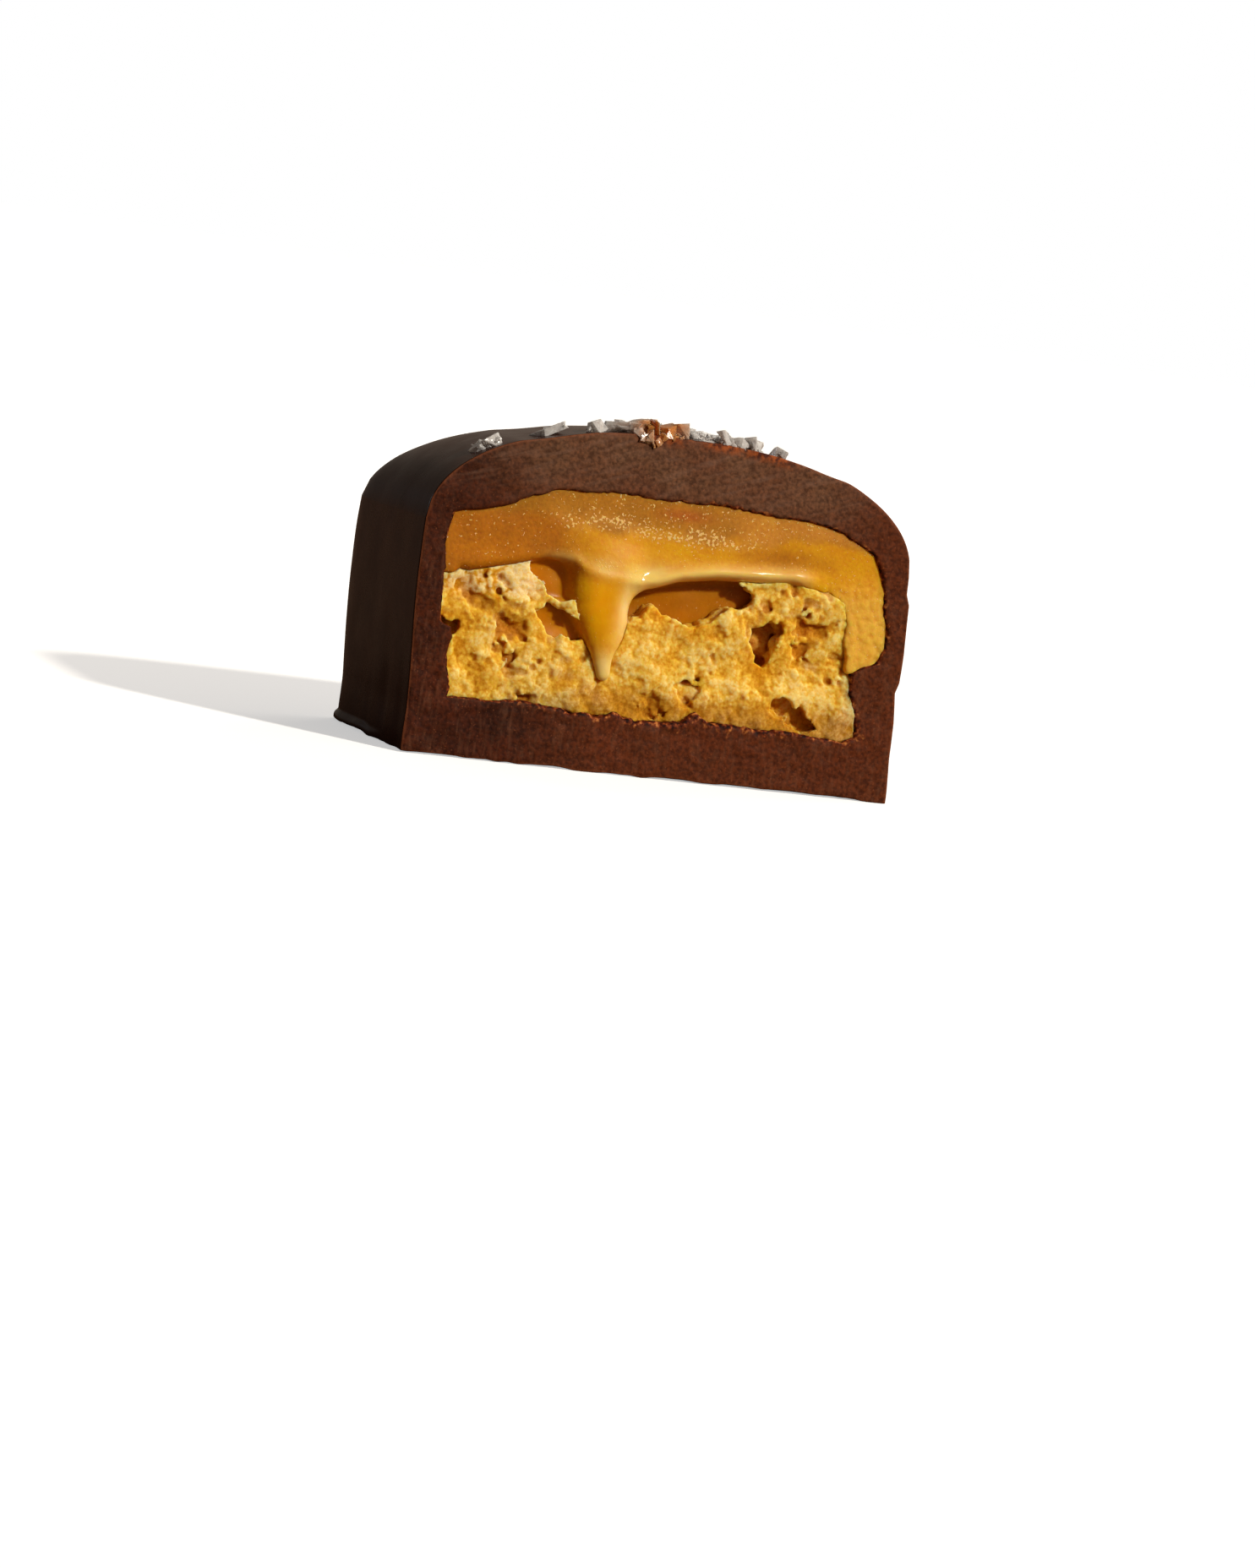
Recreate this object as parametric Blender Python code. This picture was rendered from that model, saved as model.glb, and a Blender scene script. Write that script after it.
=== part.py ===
"""One half of a chocolate-coated caramel shortbread, cut through its middle, with salt flakes on its top.

The cut face is a plane that looks along -Y. Behind it a pocket in the chocolate holds a slab of
shortbread with a layer of soft caramel on top, which runs down the slab's right end and hangs over
its front as one thick drip. Metres, +Z up, and the half stands on its flat base at z = 0.
"""

import math
import random

import bmesh
import bpy
import numpy as np
from mathutils import Matrix, Vector, noise

MM = 0.001

# Outside of the chocolate, measured from the middle of the cut edge at the base
HALF_WIDTH = 19.8 * MM
DEPTH = 20.4 * MM
SIDE_HEIGHT = 17.9 * MM
CROWN = 8.4 * MM
WALL_BULGE = 0.45 * MM
WALL_BULGE_TURNS = 0.75
WALL_LEAN = 0.35 * MM
WALL_LEAN_RETURN = 1.6
LEDGE_OUT = 0.35 * MM
LEDGE_HEIGHT = 12.6 * MM
LEDGE_REACH = 4.0 * MM
FOOT_FLARE = 0.25 * MM
FOOT_HEIGHT = 0.8 * MM
CORNER_LIP = 0.5 * MM
LIP_AT = math.radians(138)
LIP_REACH = math.radians(29)

# How the outside rounds off: towards the two ends, towards the back, and round the corners
CROWN_POWER_ACROSS = 2.54
CROWN_POWER_BACK = 4.3
CORNER_POWER_WALL = 16.0
CORNER_POWER_TOP = 3.0
CORNER_POWER_EASE = 0.6
SHOULDER_DIP = 0.06
SHOULDER_AT = 0.89
SHOULDER_REACH = 0.1

# Filling seen in the cut face, as (height, x) up the two ends and (x, height) along roof and floor
GAP = 0.3 * MM
FLOOR = 4.6 * MM
END_REACH = 1.6 * MM
BACK = 17.0 * MM
LEFT_END = [(4.6, -16.6), (9.9, -16.8), (10.3, -18.0), (13.7, -18.5), (18.0, -18.7)]
RIGHT_END = [(4.6, 17.0), (6.8, 17.3), (8.6, 16.6), (10.1, 16.2), (10.5, 17.5), (11.2, 18.4), (13.1, 18.6),
             (16.7, 17.9), (19.0, 17.2)]
POCKET_RIGHT_STEP = 10.1 * MM
POCKET_LEFT_STEP = 12.0 * MM
ROOF = [(-18.7, 18.0), (-14.0, 19.7), (-9.5, 21.2), (0.0, 21.5), (9.0, 21.2), (14.0, 20.6), (17.2, 19.0)]
CARAMEL_UNDERSIDE = [(-18.7, 14.3), (-16.0, 14.3), (-10.0, 15.7), (-2.0, 15.0), (4.0, 15.8), (10.0, 16.3),
                     (14.2, 16.0), (15.0, 14.6), (15.5, 11.6), (16.3, 10.4), (18.6, 10.3)]

CARAMEL_TURN = 14.0 * MM

# Where the filling tapers in towards the rounded back of the chocolate
TAPER_START = 8.0 * MM
TAPER_SIDES = 0.10
TAPER_ROOF = 0.13
OVERCUT = 2.0 * MM
POCKET_SIDE_HEIGHTS = [6.8, 8.6, 9.5, 9.8, 10.2, 10.9, 13.1, 15.0, 16.7]
POCKET_FLOOR_POINTS = 12
POCKET_ROOF_POINTS = 18
LAYER_DEPTHS = [5.5 * MM, 10.0 * MM, 13.0 * MM, 15.5 * MM, BACK]

# Drip, from inside the caramel down to its tip: height, x of its middle, half its width, its front
DRIP = [
    (17.4, -5.4, 2.9, 1.2), (16.2, -5.3, 2.7, 0.45), (15.2, -5.15, 2.4, 0.05), (14.0, -4.95, 2.1, -0.25),
    (12.8, -4.85, 1.85, -0.4), (11.4, -4.75, 1.55, -0.45), (10.2, -4.75, 1.2, -0.4),
    (9.2, -4.7, 0.92, -0.3), (8.3, -4.55, 0.72, -0.15), (7.7, -4.45, 0.52, 0.0), (7.35, -4.4, 0.28, 0.15),
]
DRIP_THICKNESS = 0.5
DRIP_SIDES = 14

# Hollows broken into the front of the shortbread: middle x and height, half sizes, depth, tilt in degrees
HOLLOWS = [
    (-8.6, 14.5, 2.9, 2.4, 2.8, 0),
    (-7.8, 11.3, 2.3, 1.9, 2.4, -20),
    (2.2, 14.4, 6.2, 3.0, 3.8, 6),
    (8.7, 11.5, 1.9, 1.9, 2.0, 25),
    (10.6, 7.2, 2.8, 1.1, 1.6, -40),
    (-13.2, 9.0, 1.2, 0.8, 0.8, 10),
    (-9.0, 7.6, 1.3, 0.7, 0.7, -15),
    (-2.5, 7.0, 1.1, 0.6, 0.6, 20),
    (4.6, 9.0, 1.4, 0.9, 0.8, -30),
    (12.8, 12.8, 1.0, 0.8, 0.7, 0),
]
CRUMB_BACKSET = 0.45 * MM
CRAG_SIZE = 2.1 * MM
CRAG_DEPTH = 0.42 * MM
CRAG_LAYER = 7.0 * MM
GRIT_SHARE = 0.45
GROOVE_CLEAR = 0.45 * MM
GROOVE_MARGIN = 0.9 * MM
GROOVE_EDGE = 1.3 * MM
SLAB_STEP = 0.68 * MM
SLAB_ROWS = 17

# Front of the caramel: a soft lip along its underside
CARAMEL_STEP = 0.9 * MM
CARAMEL_ROWS = 9
CARAMEL_BACKSET = 0.3 * MM
LIP_HEIGHT = 1.3 * MM
LIP_PROUD = 0.35 * MM
LIP_TUCK = 0.7 * MM
WAVE_SIZE = 3.0 * MM
WAVE_DEPTH = 0.15 * MM

# Salt flakes: x and distance behind the cut for the ones set by hand, with their length
FLAKES_BY_HAND = [
    (-16.3, 2.2, 1.6), (-15.3, 1.5, 1.5), (-10.6, 2.4, 2.4), (-7.4, 1.2, 1.6), (-5.3, 1.9, 1.9),
    (-4.4, 1.3, 1.6), (-3.4, 1.7, 1.9), (-2.9, 0.8, 1.2), (-1.8, 1.5, 1.9), (-0.5, 1.3, 1.5),
    (2.2, 1.6, 1.9), (3.3, 1.3, 1.8), (4.3, 1.2, 1.8), (5.5, 1.1, 1.5), (7.7, 1.0, 1.3),
]
FLAKES_SPREAD = 26
FLAKE_SEED = 11
# The spread flakes start in two bands of x, in millimetres, that drift sideways as they run back
FLAKE_BANDS = [(-6.5, 0.5), (2.0, 6.5)]
FLAKE_DRIFT = 0.38
FLAKE_REACH_BACK = 11.5 * MM
FLAKE_SINK = 0.3
FLAKE_SHAPE = [(0.0, 0.9), (0.55, 1.0), (1.0, 0.72)]
FLAKE_EDGE_X = 15.0 * MM
FLAKE_EDGE_BACK = 14.0 * MM
FLAKE_FROM_CUT = 0.25 * MM
SLOPE_STEP = 0.2 * MM

CHOCOLATE_RINGS_WALL = [0.0, 0.35 * MM, 0.9 * MM, 2.2 * MM, 5.0 * MM, 8.0 * MM, 10.2 * MM, 11.6 * MM,
                        13.4 * MM, 15.6 * MM, SIDE_HEIGHT]
CHOCOLATE_RINGS_TOP = 13
CHOCOLATE_RING_POINTS = 37


def clear_scene():
    """Removes whatever objects the file was opened with."""
    for old in list(bpy.data.objects):
        bpy.data.objects.remove(old, do_unlink=True)


def along(points, where):
    """Reads a line of (position, value) pairs in millimetres at a position in metres."""
    at, value = zip(*points)
    return float(np.interp(where / MM, at, value)) * MM


def smooth_bump(distance):
    """1 at distance 0, falling smoothly to 0 at distance 1."""
    inside = max(0.0, 1.0 - distance * distance)
    return inside * inside * (3.0 - 2.0 * inside)


def material(name, colour, roughness):
    """A plain Principled material."""
    made = bpy.data.materials.new(name)
    made.use_nodes = True
    shader = made.node_tree.nodes["Principled BSDF"]
    shader.inputs["Base Color"].default_value = (*colour, 1.0)
    shader.inputs["Roughness"].default_value = roughness
    shader.inputs["Metallic"].default_value = 0.0
    return made


def finished_object(name, bm, finish=None):
    """Turns a bmesh into an object with its normals facing out."""
    bmesh.ops.recalc_face_normals(bm, faces=bm.faces)
    mesh = bpy.data.meshes.new(name)
    bm.to_mesh(mesh)
    bm.free()
    made = bpy.data.objects.new(name, mesh)
    bpy.context.scene.collection.objects.link(made)
    if finish:
        mesh.materials.append(finish)
    mesh.shade_smooth()
    mesh.set_sharp_from_angle(angle=math.radians(35))
    return made


def slice_sizes(z):
    """Half width, depth, corner power and sideways shift of the chocolate's outline at height z."""
    share = max(0.0, (z - SIDE_HEIGHT) / CROWN)
    left = max(0.0, 1.0 - share * share)
    wall = min(z, SIDE_HEIGHT) / SIDE_HEIGHT
    swell = WALL_BULGE * math.sin(WALL_BULGE_TURNS * math.pi * wall)
    flare = FOOT_FLARE * smooth_bump(min(1.0, z / FOOT_HEIGHT))
    dip = SHOULDER_DIP * smooth_bump(min(1.0, abs(share - SHOULDER_AT) / SHOULDER_REACH))
    half = (HALF_WIDTH + swell + flare) * left ** (1.0 / CROWN_POWER_ACROSS) * (1.0 - dip)
    depth = (DEPTH - WALL_BULGE - FOOT_FLARE + swell + flare) * left ** (1.0 / CROWN_POWER_BACK)
    power = CORNER_POWER_WALL + (CORNER_POWER_TOP - CORNER_POWER_WALL) * share ** CORNER_POWER_EASE
    shift = WALL_LEAN * (1.0 - WALL_LEAN_RETURN * wall) * smooth_bump(share)
    return half, depth, power, shift


def outline_point(angle, z):
    """Point of the chocolate's outside at height z, round from the cut's right edge to its left."""
    half, depth, power, shift = slice_sizes(z)
    across, back = math.cos(angle), max(0.0, math.sin(angle))
    radius = (abs(across) ** power + back ** power) ** (-1.0 / power)
    ledge = LEDGE_OUT * smooth_bump(min(1.0, abs(z - LEDGE_HEIGHT) / LEDGE_REACH)) * max(0.0, across) ** 4
    lip = CORNER_LIP * smooth_bump(min(1.0, z / FOOT_HEIGHT))
    lip *= smooth_bump(min(1.0, abs(angle - LIP_AT) / LIP_REACH))
    x = shift + across * radius * half + math.copysign(ledge + 0.6 * lip, across)
    y = back * radius * (depth + 0.4 * lip)
    return Vector((x, y, z))


def dome_height(x, y):
    """Height of the chocolate's top over a point of the plan, by halving."""
    low, high = SIDE_HEIGHT, SIDE_HEIGHT + CROWN
    for _ in range(40):
        middle = 0.5 * (low + high)
        half, depth, power, shift = slice_sizes(middle)
        reach = (abs((x - shift) / half) ** power + abs(y / depth) ** power) if half > 0 else 2.0
        if reach < 1.0:
            low = middle
        else:
            high = middle
    return low


def ring_heights():
    """Heights of the outline rings, from the base to just under the crown's highest point."""
    heights = list(CHOCOLATE_RINGS_WALL)
    for k in range(1, CHOCOLATE_RINGS_TOP):
        width = math.cos(0.5 * math.pi * k / CHOCOLATE_RINGS_TOP)
        heights.append(SIDE_HEIGHT + CROWN * math.sqrt(1.0 - width ** CROWN_POWER_ACROSS))
    return heights


def chocolate_block(finish):
    """The solid outside of the chocolate: rings from base to crown, a flat base and a flat cut face."""
    bm = bmesh.new()
    rings = []
    for z in ring_heights():
        angles = [math.pi * k / (CHOCOLATE_RING_POINTS - 1) for k in range(CHOCOLATE_RING_POINTS)]
        rings.append([bm.verts.new(outline_point(angle, z)) for angle in angles])
    for ring in rings:
        ring[0].co.y = 0.0
        ring[-1].co.y = 0.0
    crown = bm.verts.new((slice_sizes(SIDE_HEIGHT + CROWN)[3], 0.0, SIDE_HEIGHT + CROWN))
    for low, high in zip(rings, rings[1:]):
        for k in range(CHOCOLATE_RING_POINTS - 1):
            bm.faces.new((low[k], low[k + 1], high[k + 1], high[k]))
    for k in range(CHOCOLATE_RING_POINTS - 1):
        bm.faces.new((rings[-1][k], rings[-1][k + 1], crown))
    bm.faces.new(rings[0])
    bm.faces.new([ring[-1] for ring in rings] + [crown] + [ring[0] for ring in reversed(rings)])
    return finished_object("chocolate_coating", bm, finish)


def left_end(z, grow=0.0):
    return along(LEFT_END, z + grow) - grow


def right_end(z, grow=0.0):
    return along(RIGHT_END, z + grow) + grow


def taper(point, depth):
    """Draws a point of the filling in, towards the rounded back of the chocolate."""
    share = max(0.0, (depth - TAPER_START) / (BACK - TAPER_START)) ** 2
    x = point[0] * (1.0 - TAPER_SIDES * share)
    z = FLOOR + (point[1] - FLOOR) * (1.0 - TAPER_ROOF * share)
    return Vector((x, depth, z))


def pocket_cutter():
    """What is cut out of the chocolate for the filling, larger than it by the gap all round."""
    base = FLOOR - GAP
    sides = [z * MM for z in POCKET_SIDE_HEIGHTS]
    top_left, top_right = ROOF[0][0] * MM - GAP, ROOF[-1][0] * MM + GAP
    floor_x = np.linspace(left_end(base, GAP), right_end(base, GAP), POCKET_FLOOR_POINTS)
    roof_x = np.linspace(top_right, top_left, POCKET_ROOF_POINTS)
    floor = [(float(x), base) for x in floor_x]
    right = [(right_end(z, GAP), z) for z in sides]
    roof = [(float(x), along(ROOF, x) + GAP) for x in roof_x]
    left = [(left_end(z, GAP), z) for z in reversed(sides)]
    outline = floor + right + roof + left
    bm = bmesh.new()
    loops = []
    for depth in [-OVERCUT, *LAYER_DEPTHS, BACK + GAP]:
        loops.append([bm.verts.new(taper(p, min(depth, BACK))) for p in outline])
        for v in loops[-1]:
            v.co.y = depth
    close_loops(bm, loops)
    bm.faces.new(loops[0])
    cutter = finished_object("pocket_cutter", bm)
    cutter.hide_render = True
    cutter.display_type = "WIRE"
    return cutter


def close_loops(bm, loops):
    """Joins each loop to the next with quads and caps the last one."""
    count = len(loops[0])
    for near, far in zip(loops, loops[1:]):
        for k in range(count):
            bm.faces.new((near[k], near[(k + 1) % count], far[(k + 1) % count], far[k]))
    bm.faces.new(loops[-1])


def spaced(stops, step):
    """Positions through every stop, with no two neighbours further apart than step."""
    positions = [stops[0]]
    for start, end in zip(stops, stops[1:]):
        parts = max(1, math.ceil((end - start) / step))
        positions += [start + (end - start) * k / parts for k in range(1, parts + 1)]
    return positions


def slab(name, ends, lines, front, stops, step, rows, finish):
    """A slab of filling: a front grid with relief between its under and over lines, run back in layers."""
    bm = bmesh.new()
    under, over = lines
    first, last = ends[0](under(-1.0)), ends[1](under(1.0))
    stops = [first] + [x for x in stops if first + 0.5 * step < x < last - 0.5 * step] + [last]
    grid = []
    for plain_x in spaced(stops, step):
        at_left = max(0.0, 1.0 - (plain_x - first) / END_REACH)
        at_right = max(0.0, 1.0 - (last - plain_x) / END_REACH)
        low, high = under(plain_x), over(plain_x)
        line = []
        for j in range(rows + 1):
            z = low + (high - low) * j / rows
            x = plain_x + at_left * (ends[0](z) - first) + at_right * (ends[1](z) - last)
            line.append((x, z))
        grid.append(line)
    columns = len(grid) - 1
    near = [[bm.verts.new((x, front(x, z), z)) for x, z in line] for line in grid]
    for i in range(columns):
        for j in range(rows):
            bm.faces.new((near[i][j], near[i + 1][j], near[i + 1][j + 1], near[i][j + 1]))
    edge = [(i, 0) for i in range(columns)] + [(columns, j) for j in range(rows)]
    edge += [(i, rows) for i in range(columns, 0, -1)] + [(0, j) for j in range(rows, 0, -1)]
    loops = [[near[i][j] for i, j in edge]]
    for depth in LAYER_DEPTHS:
        loops.append([bm.verts.new(taper(grid[i][j], depth)) for i, j in edge])
    close_loops(bm, loops)
    return finished_object(name, bm, finish)


def drip_at(z):
    """Middle x, half width and back of the drip at height z, the back measured behind the cut."""
    heights, *rows = zip(*reversed(DRIP))
    middle, width, front = (float(np.interp(z / MM, heights, row)) * MM for row in rows)
    return middle, width, front + 2.0 * DRIP_THICKNESS * width


def drip_body():
    """The thick drip: oval rings down its length, closed at both ends."""
    bm = bmesh.new()
    loops = []
    for height, middle, width, front in DRIP:
        thick = DRIP_THICKNESS * width
        ring = []
        for k in range(DRIP_SIDES):
            turn = 2.0 * math.pi * k / DRIP_SIDES
            x, y = middle + width * math.cos(turn), front + thick + thick * math.sin(turn)
            ring.append(bm.verts.new((x * MM, y * MM, height * MM)))
        loops.append(ring)
    close_loops(bm, loops)
    bm.faces.new(loops[0])
    return finished_object("drip", bm)


def hollow_depth(x, z):
    """How far the broken hollows set the shortbread's front back at a point of the cut."""
    deepest = 0.0
    for middle_x, middle_z, half_x, half_z, depth, tilt in HOLLOWS:
        turn = math.radians(tilt)
        dx, dz = x / MM - middle_x, z / MM - middle_z
        along_x = (dx * math.cos(turn) + dz * math.sin(turn)) / half_x
        along_z = (dz * math.cos(turn) - dx * math.sin(turn)) / half_z
        edge = min(1.0, math.hypot(along_x, along_z))
        deepest = max(deepest, depth * MM * smooth_bump(edge))
    return deepest


def drip_groove(x, z):
    """How far back the shortbread has to lie to stay clear of the drip."""
    tip = DRIP[-1][0] * MM
    middle, width, back = drip_at(max(z, tip))
    side = max(0.0, abs(x - middle) - width - GROOVE_MARGIN) / GROOVE_EDGE
    below = max(0.0, tip - 0.5 * GROOVE_MARGIN - z) / GROOVE_EDGE
    return (back + GAP + GROOVE_CLEAR) * smooth_bump(min(1.0, math.hypot(side, below)))


def shortbread_front(x, z):
    """Distance of the shortbread's broken front behind the cut plane."""
    crag = noise.noise(Vector((x, CRAG_LAYER, z)) / CRAG_SIZE)
    grit = noise.noise(Vector((x, CRAG_LAYER, z)) / (GRIT_SHARE * CRAG_SIZE))
    surface = CRUMB_BACKSET + CRAG_DEPTH * (crag + GRIT_SHARE * grit)
    return max(0.05 * MM, surface + hollow_depth(x, z), drip_groove(x, z))


def caramel_under(x):
    return along(CARAMEL_UNDERSIDE, x)


def caramel_front(x, z):
    """Distance of the caramel's front behind the cut plane: a rounded lip low down, flatter above."""
    height = (z - caramel_under(min(x, CARAMEL_TURN))) / LIP_HEIGHT
    lip = LIP_PROUD * smooth_bump(min(1.0, abs(height - 1.0)))
    tuck = LIP_TUCK * smooth_bump(min(1.0, abs(height)))
    wave = WAVE_DEPTH * noise.noise(Vector((x, 0.0, z)) / WAVE_SIZE)
    return CARAMEL_BACKSET - lip + tuck + wave


def surface_frame(x, y):
    """Point and outward normal of the chocolate's top over a point of the plan."""
    step = SLOPE_STEP
    here = dome_height(x, y)
    slope_x = (dome_height(x + step, y) - dome_height(x - step, y)) / (2.0 * step)
    slope_y = (dome_height(x, y + step) - dome_height(x, y - step)) / (2.0 * step)
    return Vector((x, y, here)), Vector((-slope_x, -slope_y, 1.0)).normalized()


def flake_spots(draw):
    """Where the salt lies: the flakes set by hand, then a spread over the crown."""
    spots = [(x * MM, y * MM, length * MM) for x, y, length in FLAKES_BY_HAND]
    while len(spots) < len(FLAKES_BY_HAND) + FLAKES_SPREAD:
        low, high = draw.choice(FLAKE_BANDS)
        y = 2.5 * MM + abs(draw.gauss(0.0, 0.45)) * FLAKE_REACH_BACK
        x = draw.uniform(low, high) * MM + FLAKE_DRIFT * y
        length = draw.uniform(1.0, 2.0) * MM
        clear = all(math.hypot(x - a, y - b) > 0.6 * (length + c) for a, b, c in spots)
        if clear and abs(x) < FLAKE_EDGE_X and y < FLAKE_EDGE_BACK:
            spots.append((x, y, length))
    return spots


def salt_flake(number, spot, draw):
    """One flat crystal: a four-cornered plate with a smaller top, sunk a little into the chocolate."""
    x, y, length = spot
    width = length * draw.uniform(0.5, 0.85)
    height = draw.uniform(0.45, 0.85) * MM
    bm = bmesh.new()
    loops = []
    for level, size in FLAKE_SHAPE:
        ring = []
        for side_x, side_y in ((-1, -1), (1, -1), (1, 1), (-1, 1)):
            jitter = draw.uniform(0.85, 1.1)
            ring.append(bm.verts.new((0.5 * length * size * side_x * jitter, 0.5 * width * size * side_y,
                                      height * (level - FLAKE_SINK))))
        loops.append(ring)
    close_loops(bm, loops)
    bm.faces.new(loops[0])
    centre, normal = surface_frame(x, y)
    lean = Vector((draw.uniform(-0.3, 0.3), draw.uniform(-0.3, 0.3), 0.0))
    turn = (normal + lean).normalized().to_track_quat("Z", "Y").to_matrix().to_4x4()
    yaw = Matrix.Rotation(draw.uniform(0.0, math.pi), 4, "Z")
    bmesh.ops.transform(bm, matrix=Matrix.Translation(centre) @ turn @ yaw, verts=bm.verts)
    push = max(0.0, FLAKE_FROM_CUT - min(v.co.y for v in bm.verts))
    bmesh.ops.translate(bm, vec=(0.0, push, 0.0), verts=bm.verts)
    return finished_object(f"flake_{number}", bm)


def apply_boolean(target, operation, solver="EXACT", cutter=None, collection=None):
    """Adds a Boolean to target and applies it."""
    boolean = target.modifiers.new(operation.lower(), "BOOLEAN")
    boolean.operation = operation
    boolean.solver = solver
    if collection:
        boolean.operand_type = "COLLECTION"
        boolean.collection = collection
    else:
        boolean.object = cutter
    bpy.context.view_layer.objects.active = target
    bpy.ops.object.modifier_apply(modifier=boolean.name)


def chocolate_with_salt():
    """The coating: the outside, less the pocket, with the salt flakes fused on."""
    coating = chocolate_block(material("chocolate", (0.045, 0.018, 0.010), 0.4))
    cutter = pocket_cutter()
    apply_boolean(coating, "DIFFERENCE", cutter=cutter)
    bpy.data.objects.remove(cutter)
    draw = random.Random(FLAKE_SEED)
    salt = bpy.data.collections.new("salt")
    bpy.context.scene.collection.children.link(salt)
    for number, spot in enumerate(flake_spots(draw)):
        flake = salt_flake(number, spot, draw)
        bpy.context.scene.collection.objects.unlink(flake)
        salt.objects.link(flake)
    apply_boolean(coating, "UNION", collection=salt)
    for flake in list(salt.objects):
        bpy.data.objects.remove(flake)
    bpy.data.collections.remove(salt)
    coating.data.shade_smooth()
    coating.data.set_sharp_from_angle(angle=math.radians(35))
    return coating


def caramel_with_drip():
    """The caramel layer, which runs down the right end, with its drip joined on."""
    finish = material("caramel", (0.55, 0.26, 0.03), 0.3)
    ends = (lambda z: left_end(max(z, POCKET_LEFT_STEP)), right_end)
    lines = (caramel_under, lambda x: along(ROOF, x))
    bends = [x * MM for x, z in CARAMEL_UNDERSIDE]
    caramel = slab("caramel", ends, lines, caramel_front, bends, CARAMEL_STEP, CARAMEL_ROWS, finish)
    drip = drip_body()
    apply_boolean(caramel, "UNION", cutter=drip)
    bpy.data.objects.remove(drip)
    return caramel


def shortbread_slab():
    """The crumbly slab under the caramel."""
    finish = material("shortbread", (0.62, 0.36, 0.09), 0.9)
    ends = (left_end, lambda z: right_end(min(z, POCKET_RIGHT_STEP)))
    lines = (lambda x: FLOOR, lambda x: caramel_under(x + GAP) - GAP)
    bends = [x * MM - GAP for x, z in CARAMEL_UNDERSIDE]
    return slab("shortbread", ends, lines, shortbread_front, bends, SLAB_STEP, SLAB_ROWS, finish)


def stand_on_centre(pieces):
    """Parents the pieces to an empty placed so that the base's middle is the origin."""
    bpy.context.view_layer.update()
    corners = [piece.matrix_world @ v.co for piece in pieces for v in piece.data.vertices]
    low = Vector((min(c[k] for c in corners) for k in range(3)))
    high = Vector((max(c[k] for c in corners) for k in range(3)))
    stand = bpy.data.objects.new("shortbread_half", None)
    bpy.context.scene.collection.objects.link(stand)
    stand.location = (-0.5 * (low.x + high.x), -0.5 * (low.y + high.y), -low.z)
    for piece in pieces:
        piece.parent = stand


clear_scene()
stand_on_centre([chocolate_with_salt(), caramel_with_drip(), shortbread_slab()])
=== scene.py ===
# %% [markdown]
# This is one half of a chocolate-coated caramel shortbread, cut through its middle. The solid model already
# has its true size and place, so the first step loads it and keeps its box. Everything made later is
# measured against that box, because the looks may add detail but no size.

# %% Load the solid model
import math
import random

import bmesh
import bpy
import numpy as np
from mathutils import Matrix, Vector


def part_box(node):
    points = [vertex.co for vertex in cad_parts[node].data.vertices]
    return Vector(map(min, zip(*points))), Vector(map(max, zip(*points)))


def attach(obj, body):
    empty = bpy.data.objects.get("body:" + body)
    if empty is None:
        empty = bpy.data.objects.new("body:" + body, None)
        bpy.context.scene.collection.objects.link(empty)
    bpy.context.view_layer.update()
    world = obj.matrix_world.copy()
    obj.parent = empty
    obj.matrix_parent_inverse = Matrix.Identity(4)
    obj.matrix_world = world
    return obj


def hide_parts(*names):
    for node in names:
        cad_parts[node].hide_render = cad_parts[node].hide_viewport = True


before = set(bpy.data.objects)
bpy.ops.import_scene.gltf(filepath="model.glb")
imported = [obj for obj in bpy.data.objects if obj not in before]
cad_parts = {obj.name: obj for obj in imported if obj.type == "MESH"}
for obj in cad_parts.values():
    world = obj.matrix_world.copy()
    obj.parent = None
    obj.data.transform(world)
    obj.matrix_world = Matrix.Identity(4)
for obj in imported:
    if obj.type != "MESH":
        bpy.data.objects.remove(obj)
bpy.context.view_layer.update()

# %% [markdown]
# All shapes below are worked out in millimetres from the cut face: x runs along the cut, y runs back into
# the half, and z runs up from the base. One helper carries those numbers into the model's own frame, so a
# shape can be described the way one would measure it on a plate with a ruler.

# %% From the ruler to the model
MM = 0.001
CUT_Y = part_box("chocolate_coating")[0].y / MM
MIDDLE_X = -0.123


def to_model(points):
    """Millimetres from the cut face into metres in the model's frame."""
    return (np.asarray(points, float) + (MIDDLE_X, CUT_Y, 0.0)) * MM


def linear(red, green, blue):
    """A colour as read off a screen, 0 to 255, as the light values that a shader takes."""
    shares = np.array([red, green, blue]) / 255.0
    faint, strong = shares / 12.92, ((shares + 0.055) / 1.055) ** 2.4
    return tuple(float(v) for v in np.where(shares < 0.04045, faint, strong))


print("cut face at y =", round(CUT_Y, 3), "mm")

# %% [markdown]
# Crumb, caramel grain and the faint unevenness of poured chocolate all come from the same two helpers. The
# first gives smooth random values, like the shading of a cloud. The second packs round grains at random,
# like sugar or breadcrumbs, and says how far inside a grain each point is. Both read a seeded table, so the
# result is the same on every run.

# %% Random values and grains
TABLE = 32


def soft_noise(points, size, seed):
    """Smooth random values from -1 to 1 that change over about size millimetres."""
    table = np.random.default_rng(seed).uniform(-1.0, 1.0, (TABLE, TABLE, TABLE)).astype(np.float32)
    scaled = np.asarray(points, np.float32) / size
    cell = np.floor(scaled).astype(np.int32)
    part = scaled - cell
    part = part * part * (3.0 - 2.0 * part)
    total = np.zeros(len(scaled), np.float32)
    for corner in np.ndindex(2, 2, 2):
        i, j, k = (cell + corner).T % TABLE
        weight = np.prod(np.where(np.array(corner) == 1, part, 1.0 - part), axis=1)
        total += weight * table[i, j, k]
    return total


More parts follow.
